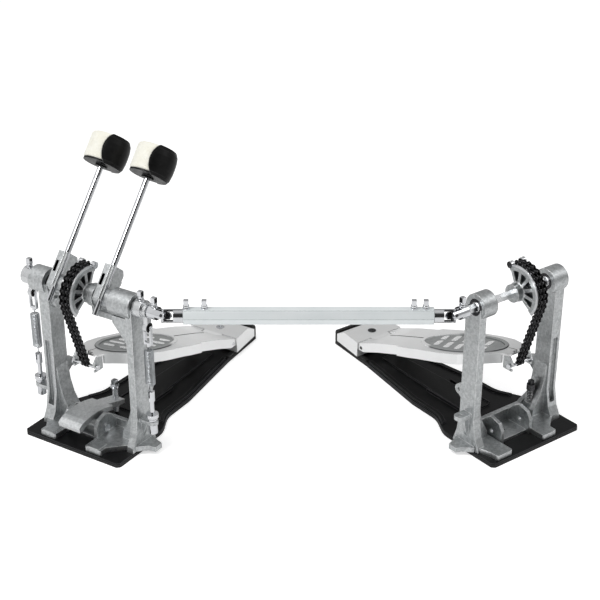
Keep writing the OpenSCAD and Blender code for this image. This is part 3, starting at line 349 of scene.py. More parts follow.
def radius_from(tree, a, a0, b, b0):
    """Distance from an axis, given the two coordinates across it and where it stands."""
    da, db = calc(tree, "SUBTRACT", a, a0), calc(tree, "SUBTRACT", b, b0)
    return calc(tree, "SQRT", calc(tree, "ADD", calc(tree, "MULTIPLY", da, da),
                                   calc(tree, "MULTIPLY", db, db)))

# %% [markdown]
# Every finish starts from Object coordinates, because these stay on the metal when a joint turns.
# The Bevel node compares a rounded normal with the true one, and where the two differ there is an
# edge. There a finish lays its edge colour: a painted highlight where it is lighter than the metal,
# a painted dark line standing in for shade where it is darker, and on the castings also wear where
# hands and files have rubbed.

# %% Moves that every finish uses
def new_finish(name, **sockets):
    mat = bpy.data.materials.new(name)
    mat.use_nodes = True
    tree = mat.node_tree
    shader = tree.nodes["Principled BSDF"]
    for key, value in sockets.items():
        shader.inputs[key.replace("_", " ")].default_value = value
    place = add(tree, "ShaderNodeTexCoord")
    return mat, tree, shader, place.outputs["Object"]


def noise(tree, place, scale, detail=3.0, rough=0.55, stretch=None):
    if stretch:
        lay = add(tree, "ShaderNodeMapping")
        lay.inputs["Scale"].default_value = stretch
        join(tree, place, lay.inputs["Vector"])
        place = lay.outputs["Vector"]
    node = add(tree, "ShaderNodeTexNoise", Scale=scale, Detail=detail, Roughness=rough)
    join(tree, place, node.inputs["Vector"])
    return node.outputs["Fac"]


def edges(tree, radius, samples=4):
    """(rounded normal, 0 on a face and 1 on an edge)"""
    rounded = add(tree, "ShaderNodeBevel", samples=samples, Radius=radius)
    flat = add(tree, "ShaderNodeNewGeometry")
    same = add(tree, "ShaderNodeVectorMath", operation="DOT_PRODUCT")
    join(tree, rounded.outputs["Normal"], same.inputs[0])
    join(tree, flat.outputs["Normal"], same.inputs[1])
    edge = add(tree, "ShaderNodeMapRange")
    for key, value in (("From Min", 0.995), ("From Max", 0.86), ("To Min", 0.0), ("To Max", 1.0)):
        edge.inputs[key].default_value = value
    join(tree, same.outputs["Value"], edge.inputs["Value"])
    return rounded.outputs["Normal"], edge.outputs["Result"]


def bump(tree, height, depth, strength, normal=None):
    node = add(tree, "ShaderNodeBump", Strength=strength, Distance=depth)
    join(tree, height, node.inputs["Height"])
    if normal:
        join(tree, normal, node.inputs["Normal"])
    return node.outputs["Normal"]


def blend_colours(tree, factor, a, b):
    node = add(tree, "ShaderNodeMix", data_type="RGBA")
    join(tree, factor, node.inputs[0])
    for socket, colour in ((node.inputs[MIX_FIRST], a), (node.inputs[MIX_SECOND], b)):
        if isinstance(colour, bpy.types.NodeSocket):
            join(tree, colour, socket)
        else:
            socket.default_value = (*colour, 1)
    return node.outputs[MIX_COLOUR]


print("finish helpers: new_finish, noise, edges, bump, blend_colours")

# %% [markdown]
# Cast and machined metal is never one flat colour: a wide noise makes clouds in the colour, a
# fine one makes the grain and varies the roughness, and the edges take their own colour. On the
# castings the lighter edges are partly wear and partly a painted highlight; on chrome, steel and
# black metal they are a painted highlight, and on the tube and polished aluminium a painted dark
# line for shade. On polished metal the grain stays out of the bump, because a bump finer than a
# pixel turns highlights to speckle.

# %% One metal
def metal(name, low, high, rough, clouds, grain, grain_depth, edge_wear_and_painted_light=None, edge_radius=0.0007,
          stretch=None, coat=0.0, metallic=1.0, marks=None, ridges=None):
    """A metal that varies between two colours and two roughnesses, with a fine grain.

    marks(tree, place) gives a factor and the colour it lays over the metal; ridges gives a height.
    """
    mat, tree, shader, place = new_finish(name, Metallic=metallic)
    shader.inputs["Coat Weight"].default_value = coat
    cloud = noise(tree, place, clouds, 6, 0.68)
    colour = ramp(tree, cloud, [(0.34, low), (0.66, high)])
    normal, edge = edges(tree, edge_radius)
    # The edge colour paints light along the edges: a painted highlight on most metals, a painted
    # dark line for shade on pale ones, and partly wear on the castings.
    if edge_wear_and_painted_light:
        colour = blend_colours(tree, edge, colour, edge_wear_and_painted_light)
    if marks:
        for factor, laid in marks(tree, place):
            colour = blend_colours(tree, factor, colour, laid)
    join(tree, colour, shader.inputs["Base Color"])
    fine = noise(tree, place, grain, 2, 0.6, stretch)
    join(tree, ramp(tree, fine, [(0.25, grey(rough[0])), (0.75, grey(rough[1]))]),
         shader.inputs["Roughness"])
    if ridges:
        normal = bump(tree, ridges(tree, place), 0.0006, 1.0, normal)
    if grain_depth:
        normal = bump(tree, fine, grain_depth, 0.6, normal)
    join(tree, normal, shader.inputs["Normal"])
    return mat


FINISH = {}
# The edges named below carry wear only on the castings; elsewhere their colour is a painted
# highlight on dark and chrome metal and a painted dark line on pale metal.
print("a metal takes its colours, roughness, clouds, grain and edge wear")

# %% [markdown]
# The colours and roughness of each metal are chosen to look like the photograph: castings are
# grey and cloudy, chrome is smooth, shafts are satin, and the tube is nearly white with thin
# painted dark lines along its corners, standing in for shade.

# %% Metal finishes
# An edge colour lighter than the metal is a painted highlight along the edges, on the castings
# partly wear as well; a darker one is a painted dark line standing in for shade.
CAST = dict(low=(0.37, 0.385, 0.39), high=(0.61, 0.625, 0.63), rough=(0.30, 0.46), clouds=260,
            grain=700, grain_depth=0.0004, edge_wear_and_painted_light=(0.92, 0.93, 0.93), edge_radius=0.0009)
CHROME = dict(low=(0.60, 0.61, 0.63), high=(0.72, 0.73, 0.75), rough=(0.07, 0.10), clouds=30,
              grain=40, grain_depth=0, edge_wear_and_painted_light=(0.85, 0.86, 0.87), edge_radius=0.0004)
STEEL = dict(low=(0.56, 0.57, 0.58), high=(0.70, 0.71, 0.72), rough=(0.25, 0.29), clouds=40,
             grain=40, grain_depth=0, edge_wear_and_painted_light=(0.93, 0.93, 0.93), edge_radius=0.0006)
BLACKENED = dict(low=(0.035, 0.035, 0.037), high=(0.085, 0.085, 0.09), rough=(0.26, 0.42),
                 clouds=90, grain=900, grain_depth=0.00006, edge_wear_and_painted_light=(0.30, 0.30, 0.31),
                 edge_radius=0.0004)
# The tube's dark edge colour is a painted dark line along its corners, standing in for shade.
TUBE = dict(low=(0.84, 0.89, 0.90), high=(0.90, 0.94, 0.95), rough=(0.36, 0.48), clouds=18,
            grain=120, grain_depth=0, edge_wear_and_painted_light=(0.10, 0.11, 0.115), edge_radius=0.0011,
            stretch=(0.05, 1, 1), metallic=0.35)
WIRE = dict(low=(0.42, 0.44, 0.45), high=(0.60, 0.62, 0.64), rough=(0.28, 0.32), clouds=40,
            grain=40, grain_depth=0)
OILED = dict(low=(0.006, 0.006, 0.0065), high=(0.018, 0.018, 0.019), rough=(0.26, 0.42), clouds=120,
             grain=900, grain_depth=0.00003, edge_wear_and_painted_light=(0.10, 0.10, 0.105), edge_radius=0.0003,
             coat=0.05)
ROLLED = dict(low=(0.04, 0.04, 0.042), high=(0.10, 0.10, 0.105), rough=(0.14, 0.22), clouds=150,
              grain=300, grain_depth=0, edge_wear_and_painted_light=(0.20, 0.20, 0.21), edge_radius=0.0004,
              coat=0.1)
BRIGHTER = dict(low=(0.52, 0.535, 0.54), high=(0.72, 0.735, 0.74))
for finish, name, looks in (
        ("cast", "cast_aluminium", CAST), ("jaw", "cast_jaw", {**CAST, **BRIGHTER}),
        ("chrome", "chrome_plate", CHROME), ("steel", "zinc_plated_steel", STEEL),
        ("dark", "blackened_steel", BLACKENED), ("tube", "satin_tube", TUBE),
        ("spring", "spring_wire", WIRE), ("chain", "oiled_chain", OILED),
        ("roller", "oiled_rollers", ROLLED)):
    FINISH[finish] = metal(name, **looks)
print("metal finishes:", len(FINISH))

# %% [markdown]
# Some castings carry marks that belong to one place: the socket in each beater hub, where the
# clamp screw sits, is painted near black for the dark screw and the shade inside it, the pockets of
# the cams are painted dark as shade while their rims are turned bright, and each rocker ring holds
# a black bush. The marks are measured in the pedal's own millimetres, so the same numbers as in the
# solid model place them.

# %% Marks on the castings
BEATER_LEAN, ROD_OUTER_X, ROD_INNER_X = 39.3, -42.8, 32.2
ROCKER_REACH_MM, ROCKER_ANGLE = 23, radians(268)
SPRING_RING_Y = SHAFT_Y_MM + ROCKER_REACH_MM * cos(ROCKER_ANGLE)
SPRING_RING_Z = SHAFT_Z_MM + ROCKER_REACH_MM * sin(ROCKER_ANGLE)
SOCKET_X, SOCKET_Y, SOCKET_Z = (-9.4, -4.4), (-14.7, -9.6), (11.8, 27.2)
POCKET_R, CAM_RIM_R, BUSH_R = (13.2, 26.5), 32.0, 6.2
FLANK_X = {"main": (-12.5, 0.5), "slave": (-0.5, 12.5)}


def hub_socket_shade(rod_x):
    def marks(tree, place):
        x, y, z = pedal_mm(tree, place, "main", BEATER_LEAN)
        near, far = SOCKET_X
        inside = calc(tree, "MULTIPLY", band(tree, x, rod_x + near, rod_x + far),
                      calc(tree, "MULTIPLY", band(tree, y, *SOCKET_Y), band(tree, z, *SOCKET_Z)))
        # Painted near black inside the socket, for the dark screw in it and as painted shade in the
        # recess.
        return [(inside, (0.012, 0.012, 0.013))]
    return marks


def cam_pocket_shade_and_rim(side):
    def marks(tree, place):
        x, y, z = pedal_mm(tree, place, side)
        out = radius_from(tree, y, SHAFT_Y_MM, z, SHAFT_Z_MM)
        flank = band(tree, x, *FLANK_X[side])
        # The pockets are painted dark as shade in the recess; the lighter rim is the turned metal.
        pocket_shade = calc(tree, "MULTIPLY", band(tree, out, *POCKET_R, 1.0), flank)
        return [(pocket_shade, (0.17, 0.18, 0.185)),
                (rise(tree, out, CAM_RIM_R, CAM_RIM_R + 0.6), (0.80, 0.81, 0.82))]
    return marks


def ring_bush(tree, place):
    x, y, z = pedal_mm(tree, place, "main")
    out = radius_from(tree, y, SPRING_RING_Y, z, SPRING_RING_Z)
    return [(rise(tree, out, BUSH_R + 0.25, BUSH_R), (0.010, 0.010, 0.010))]


FINISH["outer_hub"] = metal("cast_outer_hub", **CAST, marks=hub_socket_shade(ROD_OUTER_X))
FINISH["inner_hub"] = metal("cast_inner_hub", **CAST, marks=hub_socket_shade(ROD_INNER_X))
FINISH["main_cam"] = metal("cast_main_cam", **CAST, marks=cam_pocket_shade_and_rim("main"))
FINISH["slave_cam"] = metal("cast_slave_cam", **CAST, marks=cam_pocket_shade_and_rim("slave"))
FINISH["rocker"] = metal("rocker_with_bush", **STEEL, marks=ring_bush)
print("castings with marks: 5")

# %% [markdown]
# A clamp screw is a threaded rod. The solid keeps it as a plain rod, and the thread is a bump:
# the distance round the rod shifts a saw of one pitch, so that the ridges climb as a real thread
# does.

# %% Threads
THREAD_PITCH_MM = 1.5


def thread(side, x0, y0, z0, z1, radius):
    def ridges(tree, place):
        x, y, z = pedal_mm(tree, place, side)
        round_rod = calc(tree, "ARCTAN2", calc(tree, "SUBTRACT", y, y0),
                         calc(tree, "SUBTRACT", x, x0))
        climb = calc(tree, "ADD", calc(tree, "DIVIDE", z, THREAD_PITCH_MM),
                     calc(tree, "DIVIDE", round_rod, 2 * pi))
        tooth = calc(tree, "PINGPONG", climb, 0.5)
        near = rise(tree, radius_from(tree, x, x0, y, y0), radius + 0.6, radius + 0.3)
        return calc(tree, "MULTIPLY", tooth, calc(tree, "MULTIPLY", near, band(tree, z, z0, z1)))
    return ridges


main_thread = thread("main", x0=-4, y0=99, z0=8, z1=46, radius=4)
slave_thread = thread("slave", x0=43, y0=59, z0=12, z1=46, radius=4)
FINISH["clamp_screw"] = metal("threaded_chrome", **CHROME, ridges=main_thread)
FINISH["slave_pins"] = metal("threaded_dark", **BLACKENED, ridges=slave_thread)
print("thread pitch", THREAD_PITCH_MM, "mm")

# %% [markdown]
# The footboards are pressed and polished aluminium, bright enough to look nearly white, with a
# painted dark line along their edges for shade. The oval is bead-blasted to an even grey, with a
# darker line round its rim. The groove down the middle and the short one behind the toe are
# painted near black, as the shade inside them.

# %% Footboard finishes
OVAL_Y_MM, RIM_A_MM, RIM_B_MM, TOP_FROM_Z = 146.0, 35.0, 75.0, (82.0, 84.0)
GROOVE_HALF_MM, GROOVE_Y, TOE_HALF_MM, TOE_Y = 1.15, (225.5, 296.5), 0.7, (54.0, 69.0)


def board_finish_and_groove_shade(side, toe_x):
    def marks(tree, place):
        x, y, z = pedal_mm(tree, place, side)
        across = calc(tree, "DIVIDE", x, RIM_A_MM)
        along = calc(tree, "DIVIDE", calc(tree, "SUBTRACT", y, OVAL_Y_MM), RIM_B_MM)
        out = radius_from(tree, across, 0.0, along, 0.0)
        top = rise(tree, z, *TOP_FROM_Z)
        blasted = calc(tree, "MULTIPLY", rise(tree, out, 1.0, 0.985), top)
        rim = calc(tree, "MULTIPLY", band(tree, out, 0.985, 1.02, 0.01), top)
        groove_shade = calc(tree, "MULTIPLY", band(tree, x, -GROOVE_HALF_MM, GROOVE_HALF_MM),
                      band(tree, y, *GROOVE_Y))
        toe_groove_shade = calc(tree, "MULTIPLY", band(tree, x, toe_x - TOE_HALF_MM, toe_x + TOE_HALF_MM),
                        band(tree, y, *TOE_Y))
        # The grooves are painted near black, as shade inside them.
        return [(blasted, (0.36, 0.375, 0.375)), (rim, (0.14, 0.145, 0.15)),
                (calc(tree, "MAXIMUM", groove_shade, toe_groove_shade), (0.03, 0.03, 0.03))]
    return marks


# The dark edge colour of polished aluminium is a painted dark line along the board and heel plate
# edges, standing in for shade.
POLISHED = dict(low=(0.90, 0.905, 0.905), high=(0.94, 0.945, 0.945), rough=(0.28, 0.32), clouds=18,
                grain=30, grain_depth=0, edge_wear_and_painted_light=(0.36, 0.37, 0.38), edge_radius=0.0006,
                metallic=0.7)
FINISH["polished"] = metal("polished_aluminium", **POLISHED)
FINISH["blasted"] = metal("blasted_aluminium", low=(0.30, 0.31, 0.31), high=(0.40, 0.41, 0.41),
                          rough=(0.45, 0.60), clouds=120, grain=900, grain_depth=0.0001,
                          metallic=0.6)
# The pads' dark edge colour is a painted dark outline round each pad, standing in for the shade at
# its rim.
FINISH["pad"] = metal("pad_aluminium", low=(0.90, 0.905, 0.905), high=(0.96, 0.965, 0.965),
                      rough=(0.24, 0.32), clouds=40, grain=90, grain_depth=0,
                      edge_wear_and_painted_light=(0.16, 0.17, 0.18), edge_radius=0.0005, metallic=0.5)
for side, toe_x in CHAIN_X_MM.items():
    FINISH[side + "_board"] = metal("polished_" + side + "_board", **POLISHED,
                                    stretch=(1, 0.06, 1), marks=board_finish_and_groove_shade(side, toe_x))
print("metal finishes:", len(FINISH))

# %% [markdown]
# The base plates are pressed steel with a black powder coat: a dull skin with the fine orange
# peel of a baked powder. The mat below is rubber, softer still. The beater shells are moulded in
# a satin black. All three are lighter along their edges, ribs and rims, which is a painted
# highlight.

# %% Black finishes
def coat_of(name, low, high, rough, clouds, peel, peel_depth, edge_wear_and_painted_light, edge_radius, specular):
    mat, tree, shader, place = new_finish(name, Metallic=0.0)
    shader.inputs["Specular IOR Level"].default_value = specular
    normal, edge = edges(tree, edge_radius)
    colour = ramp(tree, noise(tree, place, clouds, 4), [(0.3, low), (0.7, high)])
    # The lighter edge colour is a painted highlight along the edges, ribs and rims.
    join(tree, blend_colours(tree, edge, colour, edge_wear_and_painted_light), shader.inputs["Base Color"])
    fine = noise(tree, place, peel, 2)
    join(tree, ramp(tree, fine, [(0.3, grey(rough[0])), (0.7, grey(rough[1]))]),
         shader.inputs["Roughness"])
    join(tree, bump(tree, fine, peel_depth, 0.5, normal), shader.inputs["Normal"])
    return mat


# Each edge colour below is a painted highlight.
FINISH["plate"] = coat_of("black_powder_coat", low=(0.004, 0.004, 0.0045),
                          high=(0.008, 0.008, 0.0085), rough=(0.34, 0.46), clouds=30, peel=900,
                          peel_depth=0.00012, edge_wear_and_painted_light=(0.085, 0.085, 0.09),
                          edge_radius=0.0014, specular=0.16)
FINISH["rubber"] = coat_of("black_rubber", low=(0.012, 0.012, 0.012), high=(0.024, 0.024, 0.024),
                           rough=(0.62, 0.80), clouds=40, peel=500, peel_depth=0.0002,
                           edge_wear_and_painted_light=(0.035, 0.035, 0.035), edge_radius=0.0008, specular=0.35)
FINISH["shell"] = coat_of("moulded_black", low=(0.004, 0.004, 0.004), high=(0.011, 0.011, 0.011),
                          rough=(0.28, 0.40), clouds=55, peel=120, peel_depth=0.0003,
                          edge_wear_and_painted_light=(0.20, 0.20, 0.205), edge_radius=0.0009, specular=0.10)
print("black finishes: plate, rubber, shell")

# %% [markdown]
# Felt is pressed wool: a cloudy cream colour, a very rough surface that still glows at grazing
# angles because single fibres stand up from it, and a pattern of short fibres that lie every way.

# %% Felt
def felt():
    mat, tree, shader, place = new_finish("cream_felt", Metallic=0.0, Roughness=0.95)
    shader.inputs["Sheen Weight"].default_value = 0.35
    shader.inputs["Sheen Roughness"].default_value = 0.6
    shader.inputs["Specular IOR Level"].default_value = 0.15
    cloud = noise(tree, place, 70, 6, 0.7)
    colour = ramp(tree, cloud, [(0.3, (0.88, 0.855, 0.74)), (0.7, (0.96, 0.95, 0.87))])
    join(tree, colour, shader.inputs["Base Color"])
    fibres = add(tree, "ShaderNodeTexVoronoi", feature="DISTANCE_TO_EDGE", Scale=900.0)
    warp = add(tree, "ShaderNodeVectorMath", operation="ADD")
    wander = add(tree, "ShaderNodeTexNoise", Scale=500.0, Detail=3.0)
    join(tree, place, wander.inputs["Vector"])
    shrink = add(tree, "ShaderNodeVectorMath", operation="SCALE", Scale=0.004)
    join(tree, wander.outputs["Color"], shrink.inputs[0])
    join(tree, place, warp.inputs[0])
    join(tree, shrink.outputs[0], warp.inputs[1])
    join(tree, warp.outputs[0], fibres.inputs["Vector"])
    join(tree, bump(tree, fibres.outputs["Distance"], 0.0006, 0.5), shader.inputs["Normal"])
    return mat


FINISH["felt"] = felt()
print("finishes:", sorted(FINISH))

# %% [markdown]
# Each CAD node now gets its finish. The list below is the parts list of the pedal: a finish, and
# the nodes that wear it.

# %% Which node wears which finish
WORN_BY = {
    "cast": ["main_frame", "slave_frame", "main_toe_clamp", "slave_toe_clamp"],
    "jaw": ["hoop_clamp_jaw"],
    "outer_hub": ["outer_beater_hub"],
    "inner_hub": ["inner_beater_hub"],
    "main_cam": ["main_cam"],
    "slave_cam": ["slave_cam"],
    "main_board": ["main_footboard"],
    "slave_board": ["slave_footboard"],
    "polished": ["main_heel_plate", "slave_heel_plate"],
    "tube": ["drive_tube"],
    "chrome": ["main_fasteners", "outer_beater_rod", "inner_beater_rod", "primary_key_bolts",
               "secondary_key_bolts", "tube_key_bolts", "slave_key_bolts", "main_shaft_yoke",
               "drive_tube_yoke", "slave_drive_bar", "slave_shaft_yoke", "outer_spring_hook",
               "inner_spring_hook"],
    "clamp_screw": ["hoop_clamp_screw"],
    "rocker": ["outer_rocker", "inner_rocker"],
    "steel": ["primary_shaft", "secondary_shaft", "slave_shaft"],
    "dark": ["main_bearings", "slave_bearings", "main_joint_cross", "slave_joint_cross"],
    "slave_pins": ["slave_fasteners"],
    "chain": [f"{side}_chain_{piece}" for side in ("main", "slave")
              for piece in ("on_cam", "link_1", "link_2", "link_3", "link_4", "run")],
    "plate": ["main_base_plate", "slave_base_plate"],
    "rubber": ["main_mat_and_bumper", "slave_mat_and_bumper"],
    "shell": ["outer_beater_shell", "inner_beater_shell"],
    "spring": ["outer_spring_coil", "inner_spring_coil"],
    "felt": ["outer_beater_felt", "inner_beater_felt"],
}


def wear(obj, finish):
    obj.data.materials.clear()
    obj.data.materials.append(FINISH[finish])


for finish, nodes in WORN_BY.items():
    for node in nodes:
        wear(frame["nodes"][node], finish)
bare = set(frame["nodes"]) - {node for nodes in WORN_BY.values() for node in nodes}
print("nodes without a finish:", sorted(bare))

# %% [markdown]
# A beater felt is a disc of pressed wool with soft rims and a surface that is never quite even. A
# voxel remesh of the CAD solid gives an even skin of small faces, smoothing rounds the rims as
# the press does, and a cloud texture moves that skin in and out by a few tenths of a millimetre.

# %% Beater felts
SKIN_M, WOOL_LUMP_M, WOOL_DEPTH_M = 0.0009, 0.0035, 0.0009


def settle(obj):
    """Applies the object's modifiers to its mesh."""
    bpy.context.view_layer.update()
    seen = obj.evaluated_get(bpy.context.evaluated_depsgraph_get())
    mesh = bpy.data.meshes.new_from_object(seen)
    obj.modifiers.clear()
    obj.data = mesh


def felt_head(name, node, body):
    bm = bmesh.new()
    bm.from_mesh(frame["nodes"][node].data)
    bmesh.ops.remove_doubles(bm, verts=bm.verts, dist=0.00001)
    head = in_scene(name, mesh_of(bm, name))
    remesh = head.modifiers.new("even skin", "REMESH")
    remesh.mode = "VOXEL"
    remesh.voxel_size = SKIN_M
    smooth = head.modifiers.new("pressed rims", "SMOOTH")
    smooth.factor = 0.5
    smooth.iterations = 6
    wool = bpy.data.textures.new("wool", "CLOUDS")
    wool.noise_scale = WOOL_LUMP_M
    wool.noise_depth = 3
    fuzz = head.modifiers.new("uneven wool", "DISPLACE")
    fuzz.texture = wool
    fuzz.texture_coords = "LOCAL"
    fuzz.strength = WOOL_DEPTH_M
    fuzz.mid_level = 0.5
    settle(head)
    for face in head.data.polygons:
        face.use_smooth = True
    wear(head, "felt")
    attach(head, body)
    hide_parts(node)
    print(name, len(head.data.polygons), "faces")


felt_head("outer_felt", "outer_beater_felt", "primary_shaft_group")
felt_head("inner_felt", "inner_beater_felt", "secondary_shaft_group")

# %% [markdown]
# A curve with a round bevel is the natural tool for a wire, because a wire is a path with a
# thickness. The curve is made a mesh at once, so that its place is in the mesh and the object
# stays at the origin.

# %% Wire along a path
def wire_piece(name, path, radius_mm, resolution):
    data = bpy.data.curves.new(name, "CURVE")
    data.dimensions = "3D"
    data.bevel_depth = radius_mm * MM
    data.bevel_resolution = resolution
    data.use_fill_caps = True
    line = data.splines.new("POLY")
    line.points.add(len(path) - 1)
    for point, place in zip(line.points, path):
        point.co = (*place, 1)
    curve = in_scene(name + "_curve", data)
    bpy.context.view_layer.update()
    mesh = bpy.data.meshes.new_from_object(curve)
    bpy.data.objects.remove(curve)
    print(name, len(mesh.polygons), "faces")
    return in_scene(name, mesh)

# %% [markdown]
# A return spring is one wire: a lower loop round the eye rod's pin, a leg, 24 close turns and a
# short tail into the hook. The same path as the CAD coil is walked here in finer steps.

# %% Return springs
COIL_R, WIRE_R, COIL_PITCH, COIL_TURNS = 5.6, 0.75, 2.0, 24
EYE_Z, COIL_Z, LOOP_R = 88.0, 104.0, 2.3
COIL_TOP = COIL_Z + COIL_TURNS * COIL_PITCH
STEPS_PER_TURN = 20
END_TURN, END_RISE = 0.4, 4


def ease(t):
    return (1 - cos(pi * min(1.0, max(0.0, t)))) / 2


def coil_point(turn):
    grow = ease((turn + END_TURN) / END_TURN) * ease((COIL_TURNS + END_TURN - turn) / END_TURN)
    if turn < 0:
        height = COIL_Z + turn * END_RISE
    elif turn > COIL_TURNS:
        height = COIL_TOP + (turn - COIL_TURNS) * END_RISE
    else:
        height = COIL_Z + turn * COIL_PITCH
    angle = 2 * pi * turn
    return COIL_R * grow * cos(angle), COIL_R * grow * sin(angle), height


def spring_path():
    """Lower loop, leg, turns and tail, in millimetres from the spring's own axis."""
    loop = [(0, LOOP_R * cos(radians(a)), EYE_Z + LOOP_R * sin(radians(a)))
            for a in range(150, 367, 12)]
    leg = [(0, 2, EYE_Z + 1.6), (0, 1.2, EYE_Z + 3.2), (0, 0.3, EYE_Z + 4.6),
           (0, 0, EYE_Z + 6.5), (0, 0, EYE_Z + 10), (0, 0, COIL_Z - 3)]
    count = round((COIL_TURNS + 2 * END_TURN) * STEPS_PER_TURN)
    turns = [coil_point(-END_TURN + i / STEPS_PER_TURN) for i in range(count + 1)]
    return loop + leg + turns + [(0, 0, COIL_TOP + 4.2), (0, 0, COIL_TOP + 6)]


def spring(name, x, node):
    path = [STAND["main"] @ Vector((x + px, SPRING_RING_Y + py, pz))
            for px, py, pz in spring_path()]
    coil = wire_piece(name, path, WIRE_R, 2)
    for face in coil.data.polygons:
        face.use_smooth = True
    wear(coil, "spring")
    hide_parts(node)
    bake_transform(coil)


spring("outer_spring", -93, "outer_spring_coil")
spring("inner_spring", 95, "inner_spring_coil")

# %% [markdown]
# Each cam carries a duplex roller chain: two rows of rollers between waisted side plates, riveted
# at every pin. The solids give each link flat oblong plates. Here a plate starts as a circle
# whose points are drawn out to two lobes and a waist, because that outline is what makes a chain
# look like beads. One plate, one roller, one pin and one rivet are made once and then copied into
# every link.

# %% Chain parts
PITCH_MM, CAM_R_MM, LINK_STEP, LEAVE_ANGLE = 8.0, 36.0, 12.76, 197.2
LINKS_ON_CAM, LINKS_PEELING, LINKS_IN_RUN = 6, 4, 12
ANCHOR_ANGLE = LEAVE_ANGLE - (LINKS_ON_CAM + LINKS_PEELING) * LINK_STEP
ALONG_X = Matrix.Rotation(pi / 2, 4, "Y")
SHARP = radians(50)


def rim_edges(bm):
    return [edge for edge in bm.edges if edge.calc_face_angle(0) > SHARP]


def points_of(geom):
    return [item for item in geom if isinstance(item, bmesh.types.BMVert)]


def kept(bm, name):
    """The bmesh as a mesh to copy from."""
    bmesh.ops.recalc_face_normals(bm, faces=bm.faces)
    return mesh_of(bm, name)


def waisted_plate(lobe_mm=3.45, waist_mm=2.15):
    bm = bmesh.new()
    ring = bmesh.ops.create_circle(bm, cap_ends=True, segments=28, radius=1)["verts"]
    for point in ring:
        angle = atan2(point.co.y, point.co.x)
        along = PITCH_MM / 2 + (PITCH_MM / 2 + lobe_mm) * cos(angle)
        from_pin = min(abs(along), abs(along - PITCH_MM))
        height = sqrt(max(0.0, lobe_mm ** 2 - from_pin ** 2))
        if 0 < along < PITCH_MM:
            height = max(height, waist_mm)
        point.co = (-0.5, along, height if sin(angle) > 0 else -height)
    grown = bmesh.ops.extrude_face_region(bm, geom=list(bm.faces))["geom"]
    bmesh.ops.translate(bm, vec=(1, 0, 0), verts=points_of(grown))
    bmesh.ops.bevel(bm, geom=rim_edges(bm), offset=0.18, segments=1, profile=0.5, material=-1,
                    affect="EDGES")
    return kept(bm, "waisted_plate")


def turned_part(name, radius_mm, length_mm, rounding_mm, segments=18):
    """A short turned piece along x, centred, with rounded rims."""
    bm = bmesh.new()
    bmesh.ops.create_cone(bm, cap_ends=True, segments=segments, radius1=radius_mm,
                          radius2=radius_mm, depth=length_mm, matrix=ALONG_X)
    bmesh.ops.bevel(bm, geom=rim_edges(bm), offset=rounding_mm, segments=2, profile=0.5,
                    material=-1, affect="EDGES")
    return kept(bm, name)


PLATE = waisted_plate()
ROLLER = turned_part("roller", 2.4, 2.9, 0.45)
PIN = turned_part("pin", 1.0, 13.0, 0.1, 12)
RIVET = turned_part("rivet", 1.35, 0.5, 0.2, 12)
SLEEVE = turned_part("sleeve", 2.2, 12.7, 0.3, 20)
PIN_HEAD = turned_part("pin_head", 4.0, 2.0, 0.5, 24)
print("plate", len(PLATE.polygons), "faces, roller", len(ROLLER.polygons), "faces")

# %% [markdown]
# An outer link has three plates and shows its rivets; an inner link has four plates and carries
# the rollers. They take turns along the chain.

# %% Links
BLACK, ROLLS, BRIGHT = 0, 1, 2
OUTER_PLATES_X, RIVETS_X = (-6, 0, 6), (-6.6, 6.6)
INNER_PLATES_X, ROLLERS_X, INNER_THINNESS = (-4.95, -1.05, 1.05, 4.95), (-3, 3), 0.9


def put(bm, mesh, place, slot=BLACK):
    """Copies a kept mesh into bm; slot says which of the piece's finishes it wears."""
    first_vert, first_face = len(bm.verts), len(bm.faces)
    bm.from_mesh(mesh)
    bm.verts.ensure_lookup_table()
    bm.faces.ensure_lookup_table()
    bmesh.ops.transform(bm, matrix=place, verts=bm.verts[first_vert:])
    for face in bm.faces[first_face:]:
        face.material_index = slot


def shift(x, y=0.0, z=0.0):
    return Matrix.Translation((x, y, z))


def outer_link(bm, place):
    for x in OUTER_PLATES_X:
        put(bm, PLATE, place @ shift(x))
    for y in (0, PITCH_MM):
        put(bm, PIN, place @ shift(0, y), ROLLS)
        for x in RIVETS_X:
            put(bm, RIVET, place @ shift(x, y), ROLLS)


def inner_link(bm, place):
    thin = Matrix.Scale(INNER_THINNESS, 4, (1, 0, 0))
    for x in INNER_PLATES_X:
        put(bm, PLATE, place @ shift(x) @ thin)
    for x in ROLLERS_X:
        for y in (0, PITCH_MM):
            put(bm, ROLLER, place @ shift(x, y), ROLLS)


print("outer link: 3 plates, inner link: 4 plates, pitch", PITCH_MM, "mm")

# %% [markdown]
# Every moving group of links is one object, so that it can ride on its own body of the mechanism
# and take the place of the plain links there. The run ends in a pin with two sleeves and two
# heads.

# %% Pieces of chain
SLEEVE_X_MM, PIN_HEAD_X_MM = 12.35, 19.7


def on_cam(side, toe_x, index):
    angle = radians(ANCHOR_ANGLE + index * LINK_STEP)
    turn = radians(ANCHOR_ANGLE + (index + 0.5) * LINK_STEP + 90)
    at = shift(toe_x, SHAFT_Y_MM + CAM_R_MM * cos(angle), SHAFT_Z_MM + CAM_R_MM * sin(angle))
    return STAND[side] @ at @ Matrix.Rotation(turn, 4, "X")


